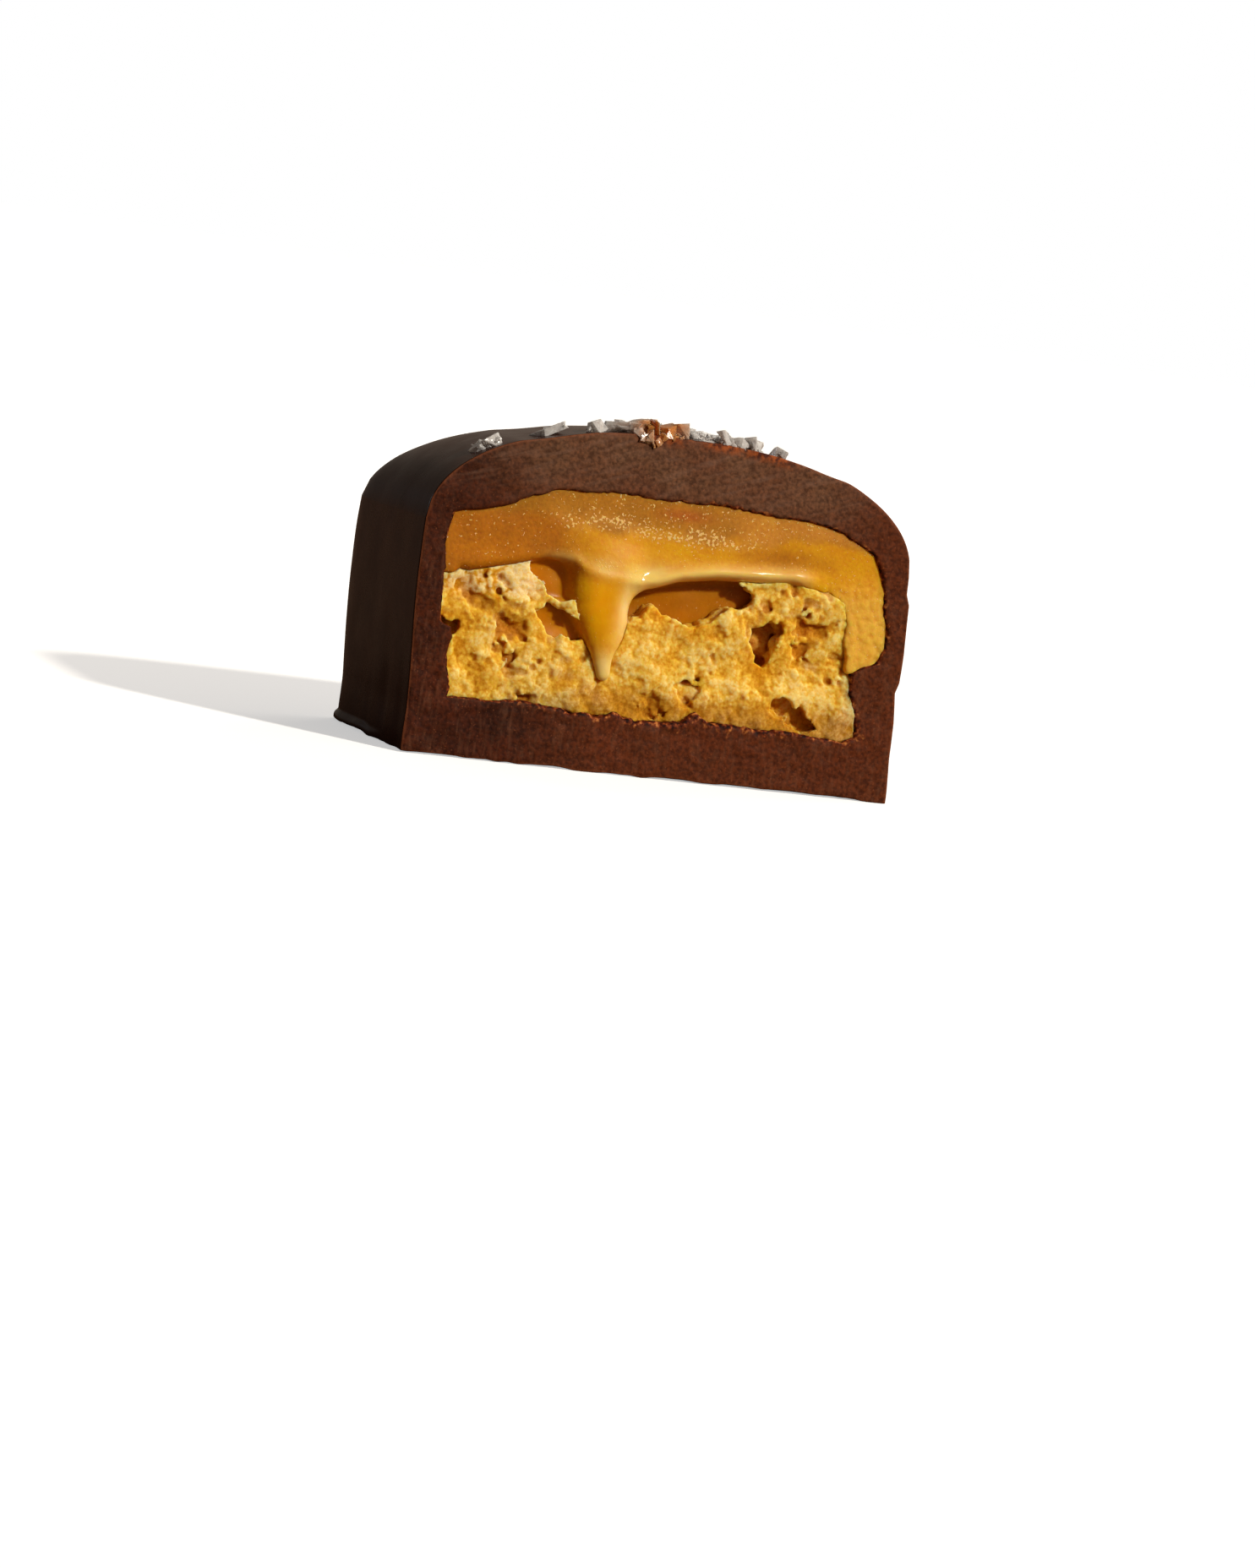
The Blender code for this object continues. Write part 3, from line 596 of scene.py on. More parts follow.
# %% Chocolate points and faces
def band_rows():
    """Rows of points across the cut face, from the outer edge to the pocket, then back into the pocket."""
    rows, to_rim, to_pocket = [], [], []
    width = np.linalg.norm(outer_loop[:, [0, 2]] - inner_loop, axis=1)
    for share in ROW_SHARES:
        flat = outer_loop[:, [0, 2]] * (1 - share) + inner_loop * share
        spots = on_cut(flat, 0.0)
        rim, edge = share * width, (1 - share) * width
        rough = 0.035 * soft_noise(spots, 0.5, 43) + 0.05 * soft_noise(spots, 1.7, 44)
        seam = ease(1.0 - edge / 1.1) * ease((6.5 - spots[:, 2]) / 1.5) * ease((spots[:, 0] + 3.0) / 4.0)
        rough += SEAM_ROUGH * seam * soft_noise(spots, 0.45, 45)
        fall = EDGE_BACK * np.exp(-rim / EDGE_ROUND) + POCKET_BACK * np.exp(-edge / POCKET_ROUND)
        spots[:, 1] = CUT_LEVEL + rough * ease(rim / 0.3) + fall
        rows.append(spots)
        to_rim.append(rim)
        to_pocket.append(edge)
    for depth in POCKET_DEPTHS:
        narrower = 1.0 - POCKET_TAPER * (depth / POCKET_DEPTHS[-1]) ** 2
        flat = POCKET_MIDDLE + (inner_loop - POCKET_MIDDLE) * narrower
        rows.append(on_cut(flat, depth))
        to_rim.append(0 * width + FAR)
        to_pocket.append(0 * width)
    return np.array(rows), np.array(to_rim), np.array(to_pocket)


rows, to_rim, to_pocket = band_rows()
ring_count, loop_count = len(outside), len(outer_loop)
outside_index = np.arange(ring_count * RING_POINTS).reshape(ring_count, RING_POINTS)
top_index = ring_count * RING_POINTS
base_index = top_index + 1 + np.arange(len(base_line))
row_index = base_index[-1] + 1 + np.arange(rows.shape[0] * loop_count).reshape(rows.shape[0], loop_count)
loop_index = np.concatenate([outside_index[:, 0], [top_index], outside_index[::-1, -1], base_index])


def quads_between(near, far, closed):
    """Faces between two lines of point numbers."""
    if closed:
        near, far = np.append(near, near[0]), np.append(far, far[0])
    return np.stack([near[:-1], near[1:], far[1:], far[:-1]], axis=1)


outer_faces = [quads_between(a, b, False) for a, b in zip(outside_index, outside_index[1:])]
cut_faces = [quads_between(a, b, True) for a, b in zip([loop_index, *row_index], row_index)]
base_rim = np.concatenate([outside_index[0], base_index])
base_points = np.concatenate([outside[0], base_line])
base_middle = np.array([0.0, 9.8, 0.12])
BASE_SHARES = (0.985, 0.95, 0.8, 0.5, 0.2)
base_rows = [base_middle + (base_points - base_middle) * (k, k, 0.4) for k in BASE_SHARES]
base_row_index = np.arange(len(BASE_SHARES) * len(base_rim)).reshape(len(BASE_SHARES), len(base_rim))
base_row_index += row_index[-1, -1] + 1
base_faces = [quads_between(a, b, True) for a, b in zip([base_rim, *base_row_index], base_row_index)]
chocolate_points = np.concatenate([outside.reshape(-1, 3), crown_top, base_line, rows.reshape(-1, 3),
                                   *base_rows])
print("chocolate", len(chocolate_points), "points")

# %% [markdown]
# The flakes lie where the solid model has them, with the same lengths and turns, because both draw the same
# seeded numbers in the same order. That is why one number is drawn for each corner of the solid's flakes
# and not used here. The first fifteen flakes are given by x, y and length, and the others are scattered
# over the part of the top that lies away from the cut.

# %% Where the flakes lie
FLAKES_BY_HAND = [
    (-16.3, 2.2, 1.6), (-15.3, 1.5, 1.5), (-10.6, 2.4, 2.4), (-7.4, 1.2, 1.6), (-5.3, 1.9, 1.9),
    (-4.4, 1.3, 1.6), (-3.4, 1.7, 1.9), (-2.9, 0.8, 1.2), (-1.8, 1.5, 1.9), (-0.5, 1.3, 1.5),
    (2.2, 1.6, 1.9), (3.3, 1.3, 1.8), (4.3, 1.2, 1.8), (5.5, 1.1, 1.5), (7.7, 1.0, 1.3),
]
FLAKES_SPREAD, FLAKE_CORNERS = 26, 12
FLAKE_BANDS, FLAKE_DRIFT = [(-6.5, 0.5), (2.0, 6.5)], 0.38
TOP_ROWS_BELOW, NEAREST = 20, 12
top_spots = outside[len(wall_heights) - TOP_ROWS_BELOW:].reshape(-1, 3)


def dome_height(x, y):
    """Height of the outside above a point of the plan, from the nearest ring points."""
    away = np.hypot(top_spots[:, 0] - x, top_spots[:, 1] - y)
    near = np.argpartition(away, NEAREST)[:NEAREST]
    weight = 1.0 / (away[near] + 0.05) ** 2
    return float((top_spots[near, 2] * weight).sum() / weight.sum())


def flake_list():
    """Each flake's place, length, width, height, lean and turn."""
    draw = random.Random(11)
    spots = list(FLAKES_BY_HAND)
    while len(spots) < len(FLAKES_BY_HAND) + FLAKES_SPREAD:
        low, high = draw.choice(FLAKE_BANDS)
        y = 2.5 + abs(draw.gauss(0.0, 0.45)) * 11.5
        x = draw.uniform(low, high) + FLAKE_DRIFT * y
        length = draw.uniform(1.0, 2.0)
        clear = all(math.hypot(x - a, y - b) > 0.6 * (length + c) for a, b, c in spots)
        if clear and abs(x) < 15.0 and y < 14.0:
            spots.append((x, y, length))
    flakes = []
    for x, y, length in spots:
        width, height = length * draw.uniform(0.5, 0.85), draw.uniform(0.45, 0.85)
        for _ in range(FLAKE_CORNERS):
            draw.uniform(0.85, 1.1)
        lean = (draw.uniform(-0.3, 0.3), draw.uniform(-0.3, 0.3), 0.0)
        flakes.append((x, y, length, width, height, lean, draw.uniform(0.0, math.pi)))
    return flakes


flakes = flake_list()
print(len(flakes), "flakes, the last at", [round(v, 2) for v in flakes[-1][:2]])

# %% [markdown]
# Salt flakes are broken crystals: plates and small blocks with sharp corners. Each is a large block with a
# few smaller ones round it, and each block is the hull of a handful of points, which gives it flat facets.
# Small amber crystals sit on the rim itself, given by x, how far they reach forward, how deep they sink and
# their size.

# %% Flake crystals
CRYSTAL_POINTS = 11
FRONT_LIMIT = 0.12


def crystal(bm, size, place, draw):
    """A faceted block: the hull of points scattered near the corners of a box."""
    made = []
    for _ in range(CRYSTAL_POINTS):
        corner = Vector([draw.choice((-0.5, 0.5)) * s * draw.uniform(0.65, 1.0) for s in size])
        corner[draw.randrange(2)] *= draw.uniform(0.1, 1.0)
        made.append(bm.verts.new(place @ corner))
    hull = bmesh.ops.convex_hull(bm, input=made)
    spare = [g for g in hull["geom_interior"] + hull["geom_unused"] if isinstance(g, bmesh.types.BMVert)]
    bmesh.ops.delete(bm, geom=list(set(spare)), context="VERTS")


AMBER_CRYSTALS = [(-4.3, 0.25, -0.1, 0.9), (-3.9, 0.1, 0.25, 0.8), (-3.5, 0.0, 0.5, 0.7),
                  (-3.2, 0.1, 0.1, 1.0), (-2.7, 0.0, 0.5, 0.7), (-2.4, 0.1, 0.15, 0.8),
                  (-2.9, 0.0, 0.8, 0.45), (-1.8, 0.2, 0.0, 0.8), (-1.2, 0.2, 0.0, 0.7),
                  (-0.7, 0.25, 0.0, 0.5), (3.6, 0.25, 0.0, 0.5), (4.4, 0.25, 0.05, 0.5)]


def flake_mesh():
    """All the salt as one mesh, in millimetres."""
    bm = bmesh.new()
    draw = random.Random(5)
    for x, y, length, width, height, lean, turn in flakes:
        here = dome_height(x, y)
        slope = Vector((dome_height(x - 0.4, y) - dome_height(x + 0.4, y),
                        dome_height(x, y - 0.4) - dome_height(x, y + 0.4), 0.8)).normalized()
        upright = (slope + Vector(lean)).normalized().to_track_quat("Z", "Y").to_matrix().to_4x4()
        spot = Matrix.Translation((x, y, here)) @ upright @ Matrix.Rotation(turn, 4, "Z")
        tall = (1.75 if y < 2.0 and x < 6.0 else 1.3) * height
        crystal(bm, (1.2 * length, 1.25 * width, tall), spot @ Matrix.Translation((0, 0, 0.3 * tall)), draw)
        for _ in range(draw.randint(3, 6)):
            size = [draw.uniform(0.3, 0.6) * length, draw.uniform(0.25, 0.5) * length,
                    draw.uniform(0.5, 1.0) * height]
            shift = Vector((draw.uniform(-0.45, 0.45) * length, draw.uniform(-0.45, 0.45) * width,
                            draw.uniform(0.1, 0.7) * height))
            tip = Matrix.Rotation(draw.uniform(-0.6, 0.6), 4, "X")
            tilt = tip @ Matrix.Rotation(draw.uniform(0, 3), 4, "Z")
            crystal(bm, size, spot @ Matrix.Translation(shift) @ tilt, draw)
    for vert in bm.verts:
        vert.co.y = max(vert.co.y, FRONT_LIMIT)
    for x, y, drop, size in AMBER_CRYSTALS:
        spot = Matrix.Translation((x, y, dome_height(x, 0.3) - drop))
        spot = spot @ Matrix.Rotation(draw.uniform(0, 3), 4, "Y")
        crystal(bm, (size, 0.8 * size, 0.9 * size), spot, draw)
    return bm


print("flakes ready")

# %% [markdown]
# A finish is a network of nodes that works out colour, shine and fine relief at every point. A few small
# helpers keep those networks short to write: each one adds a node and links its inputs by name. All sizes
# in them are millimetres of the object itself, so grain stays the same size wherever it lies.

# %% Helpers for finishes
def new_finish(name):
    """An empty finish, its node tree and its shader."""
    finish = bpy.data.materials.new(name)
    finish.use_nodes = True
    return finish, finish.node_tree, finish.node_tree.nodes["Principled BSDF"]


def fill(tree, made, **settings):
    """Fills in a node: a setting that is a socket is linked, any other is set, and _2 means input 2."""
    for key, value in settings.items():
        if hasattr(made, key) and key not in made.inputs:
            setattr(made, key, value)
            continue
        socket = made.inputs[int(key[1:]) if key[1:].isdigit() else key.replace("_", " ")]
        if isinstance(value, bpy.types.NodeSocket):
            tree.links.new(value, socket)
        else:
            socket.default_value = value
    return made


def node(tree, kind, **settings):
    """Adds a node and fills it in."""
    return fill(tree, tree.nodes.new("ShaderNode" + kind), **settings)


def times(tree, first, second):
    """Two values multiplied."""
    return node(tree, "Math", operation="MULTIPLY", _0=first, _1=second).outputs[0]


def texture(tree, size, detail=2.0, stretch=(1.0, 1.0, 1.0), shift=0.0, turn=0.0):
    """Noise that changes over about size millimetres, fixed to the object, and turned in the cut's plane."""
    where = node(tree, "TexCoord").outputs["Object"]
    if turn:
        where = node(tree, "Mapping", Vector=where, Rotation=(0.0, turn, 0.0)).outputs[0]
    placed = node(tree, "Mapping", Vector=where, Scale=tuple(1.0 / MM / size * s for s in stretch),
                  Location=(shift, shift, shift))
    return node(tree, "TexNoise", Vector=placed.outputs[0], Scale=1.0, Detail=detail).outputs["Fac"]


def ramp(tree, value, *stops):
    """A value turned into colours: each stop is a position and a colour."""
    made = node(tree, "ValToRGB", Fac=value)
    elements = made.color_ramp.elements
    while len(elements) < len(stops):
        elements.new(0.5)
    for element, (position, colour) in zip(elements, stops):
        element.position = position
        element.color = (*colour, 1.0)
    return made.outputs["Color"]


def blend(tree, share, first, second, kind="MIX"):
    """Two colours mixed by a share."""
    first, second = [(*c, 1.0) if isinstance(c, tuple) else c for c in (first, second)]
    return node(tree, "Mix", data_type="RGBA", blend_type=kind, _0=share, _6=first, _7=second).outputs[2]


def scaled(tree, value, low, high, to_low=0.0, to_high=1.0):
    """A value carried from one range to another, and kept inside it."""
    made = node(tree, "MapRange", Value=value, From_Min=low, From_Max=high, To_Min=to_low, To_Max=to_high)
    return made.outputs[0]


def stored(tree, name, output="Fac"):
    """A number or colour that was kept on the mesh's points."""
    return node(tree, "Attribute", attribute_name=name).outputs[output]


def add_bump(tree, shader, *layers):
    """Fine relief from several textures: each layer is a value, its height in millimetres and a strength."""
    under = {}
    for value, height, strength in layers:
        made = node(tree, "Bump", Height=value, Distance=height * MM, Strength=strength, **under)
        under = {"Normal": made.outputs["Normal"]}
    fill(tree, shader, **under)


# %% [markdown]
# Chocolate is two finishes. Outside it set against air and is smooth and dark, with a soft satin shine that
# varies a little from place to place. Close to the amber crystals it is stained.

# %% Dark chocolate, outside
chocolate_skin, tree, shader = new_finish("chocolate_skin")
dark = ramp(tree, texture(tree, 6.0, 3.0), (0.3, linear(52, 25, 14)), (0.7, linear(66, 34, 20)))
stain = blend(tree, scaled(tree, texture(tree, 0.5, 3.0), 0.4, 0.6), linear(96, 44, 20), linear(186, 104, 52))
stain_share = times(tree, stored(tree, "stain"), scaled(tree, texture(tree, 0.7, 3.0, shift=2.0), 0.4, 0.55))
satin = scaled(tree, texture(tree, 2.5, 4.0, shift=3.0), 0.3, 0.7, 0.25, 0.34)
fill(tree, shader, Base_Color=blend(tree, stain_share, dark, stain), Roughness=satin, IOR=1.45,
     Specular_IOR_Level=0.15)
add_bump(tree, shader, (texture(tree, 3.5, 2.0), 0.12, 0.35), (texture(tree, 0.35, 2.0), 0.012, 0.35))

# %% [markdown]
# The cut chocolate is coloured by where it lies. It is painted greyer and lighter near the top as a painted
# sheen, where it is also more scraped, and painted darker at the left side and the lower left corner as
# painted shade, where the light only grazes it. Over that come grain, pale scratches from the knife and
# specks. A painted highlight along the outer edge and the reddish seam round the filling follow last, and
# both read the distances that the points carry.

# %% Dark chocolate, cut
chocolate_cut, tree, shader = new_finish("chocolate_cut")
place = node(tree, "SeparateXYZ", Vector=node(tree, "TexCoord").outputs["Object"]).outputs


def along(axis, start, stop, low=0.0, high=1.0):
    """A value that changes from low to high between two places on an axis, in millimetres."""
    return scaled(tree, place[axis], start * MM, stop * MM, low, high)


# painted sheen near the top of the cut: greyer and lighter there; the knife scrapes lie in the same zone
painted_sheen_and_scrapes_top = times(tree, along("Z", 19.5, 23.0), along("X", 17.5, 11.0))
# painted shade: darker towards the lower left corner of the cut
painted_shade_low_left = times(tree, along("Z", 9.0, 4.0), along("X", -4.0, -13.0))
cloudy = scaled(tree, texture(tree, 4.0, 2.0, shift=7.0), 0.4, 0.7, 0.0, 0.4)
brown = blend(tree, painted_sheen_and_scrapes_top, linear(86, 39, 15), linear(99, 66, 45))
# painted shade: the left side and the lower left corner are painted darker; the cloudy patches are the
# chocolate's own uneven tone
for share, colour in ((along("X", -10.0, -18.0), (54, 21, 5)), (painted_shade_low_left, (50, 19, 6)),
                      (cloudy, (92, 38, 14))):
    brown = blend(tree, share, brown, linear(*colour))

fine = texture(tree, 0.30, 4.0)
dusk = ramp(tree, fine, (0.36, (0.22, 0.19, 0.17)), (0.5, (0.5, 0.5, 0.5)), (0.64, (0.80, 0.78, 0.76)))
brown = blend(tree, 0.65, brown, dusk, "OVERLAY")
upright = texture(tree, 0.36, 3.0, stretch=(1.0, 1.0, 0.22))
scratches = times(tree, along("Z", 12.0, 20.0, 0.3, 0.12), scaled(tree, upright, 0.5, 0.75))
slanting = texture(tree, 0.45, 3.0, stretch=(0.12, 1.0, 1.0), shift=9.0, turn=0.32)
scrapes = times(tree, scaled(tree, slanting, 0.48, 0.72, 0.0, 0.45), painted_sheen_and_scrapes_top)
specks = scaled(tree, texture(tree, 0.17, 1.0, shift=11.0), 0.66, 0.76, 0.0, 0.28)
# painted highlight: a pale line along the cut's outer edge, where the rounded edge catches the light
painted_edge_highlight_width = scaled(tree, texture(tree, 1.2, 2.0), 0.3, 0.7, 0.10, 0.34)
painted_edge_highlight = scaled(tree, stored(tree, "to_rim"), 0.02, painted_edge_highlight_width, 0.65, 0.0)
for share, colour in ((scratches, (120, 76, 52)), (scrapes, (126, 92, 74)), (specks, (160, 92, 56)),
                      (painted_edge_highlight, (126, 70, 42))):
    brown = blend(tree, share, brown, linear(*colour))

smear = times(tree, stored(tree, "stain"), scaled(tree, stored(tree, "to_rim"), 0.2, 0.9, 1.0, 0.0))
smeared = ramp(tree, texture(tree, 0.45, 3.0, shift=6.0), (0.4, linear(70, 24, 8)),
               (0.6, linear(160, 78, 30)))
seam_width = scaled(tree, texture(tree, 0.7, 3.0, shift=4.0), 0.35, 0.65, 0.2, 1.1)
seam_width = times(tree, seam_width, along("Z", 5.5, 8.0, 1.0, 0.4))
seam_width = times(tree, seam_width, along("X", -6.0, 5.0, 0.6, 1.35))
seam = scaled(tree, stored(tree, "to_pocket"), times(tree, seam_width, 0.35), seam_width, 1.0, 0.0)
seam_red = ramp(tree, texture(tree, 0.4, 3.0, shift=5.0), (0.38, linear(34, 9, 4)),
                (0.47, linear(78, 26, 10)), (0.56, linear(128, 58, 24)), (0.68, linear(196, 122, 62)))
brown = blend(tree, seam, blend(tree, smear, brown, smeared), seam_red)
fill(tree, shader, Base_Color=brown, Roughness=0.65, IOR=1.45, Specular_IOR_Level=0.12)
add_bump(tree, shader, (texture(tree, 0.9, 2.0), 0.10, 0.5), (fine, 0.07, 0.7), (upright, 0.05, 0.5))

# %% [markdown]
# Caramel lets light in and gives it back warmer, so it needs light under its skin. Its colour changes from
# place to place: a dull tan haze of sugar high up, clear gold in the middle, deep amber to the left and at
# the backs of the holes, and a pale pearly lip. Each point keeps its own colour, and the finish adds grain
# and glints.

# %% Caramel
caramel_finish, tree, shader = new_finish("caramel")
gloss, sugar = stored(tree, "gloss"), stored(tree, "sugar")
dull = scaled(tree, gloss, 0.1, 0.7, 1.0, 0.15)
patches = ramp(tree, texture(tree, 1.8, 3.0, shift=5.0), (0.32, (0.44, 0.43, 0.42)),
               (0.68, (0.56, 0.55, 0.54)))
grainy = texture(tree, 0.28, 3.0)
grit = ramp(tree, grainy, (0.34, (0.44, 0.42, 0.38)), (0.68, (0.57, 0.57, 0.56)))
smooth_body = blend(tree, 0.8, stored(tree, "tone", "Color"), patches, "OVERLAY")
body = blend(tree, dull, smooth_body, blend(tree, 0.8, smooth_body, grit, "OVERLAY"))
sparse = scaled(tree, sugar, 0.0, 1.0, 0.70, 0.53)
sparse_end = node(tree, "Math", operation="ADD", _0=sparse, _1=0.06).outputs[0]
crystals = scaled(tree, texture(tree, 0.19, 1.0, shift=8.0), sparse, sparse_end)
glint = times(tree, node(tree, "Math", operation="MAXIMUM", _0=dull, _1=sugar).outputs[0], crystals)
body = blend(tree, times(tree, glint, 0.8), body, linear(255, 220, 146))
wetness = scaled(tree, glint, 0.0, 1.0, scaled(tree, gloss, 0.0, 1.0, 0.7, 0.13), 0.15)
fill(tree, shader, Base_Color=body, Roughness=wetness, IOR=1.46, Specular_IOR_Level=0.22,
     Subsurface_Weight=0.7, Subsurface_Radius=(1.0, 0.55, 0.10), Subsurface_Scale=1.2 * MM)
add_bump(tree, shader, (times(tree, grainy, dull), 0.06, 0.6), (texture(tree, 1.1, 2.0), 0.12, 0.3),
         (glint, 0.05, 0.7))

# %% [markdown]
# Baked crumb is dry and lets a little light through, which softens the edge of each clump. Its points carry
# their own colours too: pale gold on what stands out and amber in between, partly the crumb's own colour and
# partly painted light and shade, and deeper amber in the hollows and holes as painted shade, where the
# crumbs shade each other. The finish only adds a fine grit.

# %% Shortbread
crumb_finish, tree, shader = new_finish("shortbread")
fine = texture(tree, 0.2, 3.0)
grit = ramp(tree, fine, (0.36, (0.40, 0.38, 0.26)), (0.5, (0.5, 0.5, 0.5)), (0.64, (0.58, 0.60, 0.68)))
gritty = blend(tree, 0.9, stored(tree, "tone", "Color"), grit, "OVERLAY")
fill(tree, shader, Base_Color=gritty, Roughness=0.8, Specular_IOR_Level=0.1, Subsurface_Weight=1.0,
     Subsurface_Radius=(1.0, 0.8, 0.5), Subsurface_Scale=0.8 * MM)
add_bump(tree, shader, (fine, 0.035, 0.6), (texture(tree, 0.5, 2.0), 0.04, 0.4))

# %% [markdown]
# Salt is clear, but small broken crystals look frosted, because light scatters at their many faces. A few
# at the crown of the cut have soaked up caramel and turned amber.

# %% Salt
salt_finish, tree, shader = new_finish("salt")
frost = texture(tree, 0.35, 3.0)
clear = ramp(tree, frost, (0.35, linear(222, 214, 210)), (0.65, linear(255, 250, 244)))
fill(tree, shader, Base_Color=blend(tree, stored(tree, "stain"), clear, linear(214, 128, 18)), Roughness=0.22,
     IOR=1.5, Transmission_Weight=0.3, Subsurface_Weight=0.6, Subsurface_Radius=(1.0, 0.95, 0.9),
     Subsurface_Scale=0.8 * MM)
add_bump(tree, shader, (frost, 0.10, 0.6))
print("finishes ready")

# %% [markdown]
# Now each form gets its finish and takes the place of the solid that stands for it. The coat carries two
# finishes, one for its outside and base and one for the cut and the pocket. Its points also carry how
# stained they are, because the amber crystals on the rim have bled a little into the chocolate under them.

# %% Put the coat together
chocolate_faces = np.concatenate(outer_faces + base_faces + cut_faces)
coating = add_piece("chocolate_coat", chocolate_points, chocolate_faces, chocolate_skin)
bm = bmesh.new()
bm.from_mesh(coating.data)
bm.verts.ensure_lookup_table()
for a, b in zip(outside_index[-1], outside_index[-1, 1:]):
    bm.faces.new([bm.verts[int(i)] for i in (a, b, top_index)])
for loop in (row_index[-1], base_row_index[-1]):
    bm.faces.new([bm.verts[int(i)] for i in loop])
bmesh.ops.recalc_face_normals(bm, faces=bm.faces)
bm.to_mesh(coating.data)
bm.free()
coating.data.materials.append(chocolate_cut)
cut_start = sum(len(f) for f in outer_faces + base_faces)
kinds = np.zeros(len(coating.data.polygons), np.int32)
kinds[cut_start:len(chocolate_faces)] = 1
coating.data.polygons.foreach_set("material_index", kinds)
coating.data.shade_smooth()
for name, values, elsewhere in (("to_rim", to_rim, 0.0), ("to_pocket", to_pocket, FAR)):
    kept = np.full(len(chocolate_points), elsewhere)
    kept[row_index.ravel()] = values.ravel()
    add_values(coating, name, kept)
x, y, z = chocolate_points.T
STAINS = [(-2.2, 0.7, 3.2), (2.8, 0.5, 2.4), (6.6, 0.4, 3.2)]
stains = [bump(np.minimum(1.0, np.hypot((x - at_x) / wide, (y - at_y) / 1.3))) for at_x, at_y, wide in STAINS]
add_values(coating, "stain", np.maximum.reduce(stains) * (z > SIDE_HEIGHT))
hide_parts("chocolate_coating")

# %% [markdown]
# The caramel's colours are laid on like glazes. Each is a soft patch or band of the cut face, described by
# where it lies, and each moves the colour below it a part of the way. Two are painted light: a painted
# highlight down the drip's right side and tip, and painted light that brightens the drip's shaded left side.
# The same patches say where the caramel is wet and where sugar shows.

# %% Caramel colours
caramel = add_piece("caramel_layer", caramel_points, caramel_faces, caramel_finish)
HAZE, GOLD, DEEP = linear(178, 118, 14), linear(224, 160, 1), linear(178, 108, 1)
PALE, STRAW, BACK = linear(244, 210, 122), linear(234, 178, 62), linear(174, 108, 2)
HAZE_LINE = [(-18.5, 18.0), (-12.0, 18.8), (-5.0, 18.2), (0.0, 18.3), (3.0, 18.0), (7.0, 18.6),
             (10.0, 19.2), (18.0, 19.0)]
SUGAR_LINE = [(-10.0, 19.2), (-6.0, 19.0), (0.0, 18.9), (6.0, 18.7)]
x, y, z = caramel_points.T
above = z - np.interp(x, UNDER_X, UNDER_Z)
wander = soft_noise(caramel_points, 1.6, 51)


def spot(at_x, at_z, wide, high):
    """A soft patch of the cut face, 1 in its middle."""
    return np.exp(-((x - at_x) / wide) ** 2 - ((z - at_z) / high) ** 2)


def mixed(colours, share, colour):
    """Colours moved towards another colour by a share."""
    return colours + np.clip(share, 0.0, 1.0)[:, None] * (np.array(colour) - colours)


left_amber = ease((-6.0 - x) / 4.0) + 0.8 * spot(9.0, 18.2, 4.0, 0.9)
haze = ease((z - np.interp(x, *zip(*HAZE_LINE)) + 0.5 * wander) / 1.1)
lip = np.exp(-((above - 0.5) / 0.62) ** 2) * ease((12.5 - x) / 2.5) * ease((x + 3.4) / 1.2)
drip_side = spot(-3.3, 12.4, 0.8, 2.8) + spot(-4.4, 8.0, 1.3, 1.3) + spot(-1.4, 15.5, 2.2, 0.9)
ridge = 0.6 * spot(-8.7, 16.2, 1.3, 0.4) + 0.8 * spot(-5.5, 15.8, 1.1, 0.7)
band = z - np.interp(x, *zip(*SUGAR_LINE)) - 0.4 * wander
sugar = np.exp(-(band / 0.55) ** 2) * ease((x + 11.0) / 3.0) * ease((7.5 - x) / 3.0)
sugar += 0.8 * spot(-5.6, 15.9, 1.1, 0.7) + 0.6 * spot(-2.9, 15.5, 1.0, 0.6)
sugar = np.clip(sugar + 0.25 * haze * ease((x + 13.0) / 4.0), 0, 1)
paste = ease((x - 12.5) / 3.0) * ease((17.6 - z + 0.5 * wander) / 2.5)
# painted highlight: a pale, nearly white streak down the drip's right side and at its tip
painted_drip_highlight = spot(-3.35, 12.6, 0.4, 1.5) + 0.7 * spot(-4.4, 8.2, 0.5, 0.9)
in_front, behind = y < 1.3, ease((y - 0.9) / 0.8)
tone = np.tile(np.array(GOLD), (len(x), 1))
for share, colour in (
        (left_amber, DEEP),
        (haze, HAZE),
        (haze * ease((x - 3.0) / 4.0), linear(206, 140, 42)),
        (0.35 * sugar, linear(222, 160, 76)),
        (0.6 * spot(0.6, 20.5, 2.2, 0.5), linear(176, 82, 26)),
        # painted light: brightens the drip's left side, which faces away from the lamp
        (0.8 * spot(-5.9, 13.2, 1.0, 2.6), linear(250, 182, 14)),
        (0.7 * spot(-14.0, 15.9, 4.5, 0.9), linear(206, 128, 6)),
        (paste, STRAW),
        (0.85 * np.clip(lip + drip_side + ridge, 0, 1) * in_front, PALE),
        (behind * (above < 0.6), BACK)):
    tone = mixed(tone, share, colour)
tone *= (1.0 + 0.2 * behind * (x < -5.0))[:, None]
# the painted highlight is laid over the drip's right side and tip
tone = mixed(tone, 0.5 * painted_drip_highlight * in_front, linear(248, 220, 160))
wet = np.clip(1.2 * lip + drip_side + ridge, 0, 1)
calm = 0.8 * ease((above < 0.3) * (y - 0.8) / 0.5)
calm = calm + spot(-4.9, 12.5, 2.4, 4.0) + 0.35 * spot(-2.0, 17.2, 5.0, 1.1)
add_values(caramel, "sugar", sugar)
add_values(caramel, "gloss", np.clip(np.maximum(wet, 0.75 * calm), 0, 1))
add_values(caramel, "tone", tone)
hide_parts("caramel")
print("caramel's mean colour", tone.mean(axis=0).round(3))

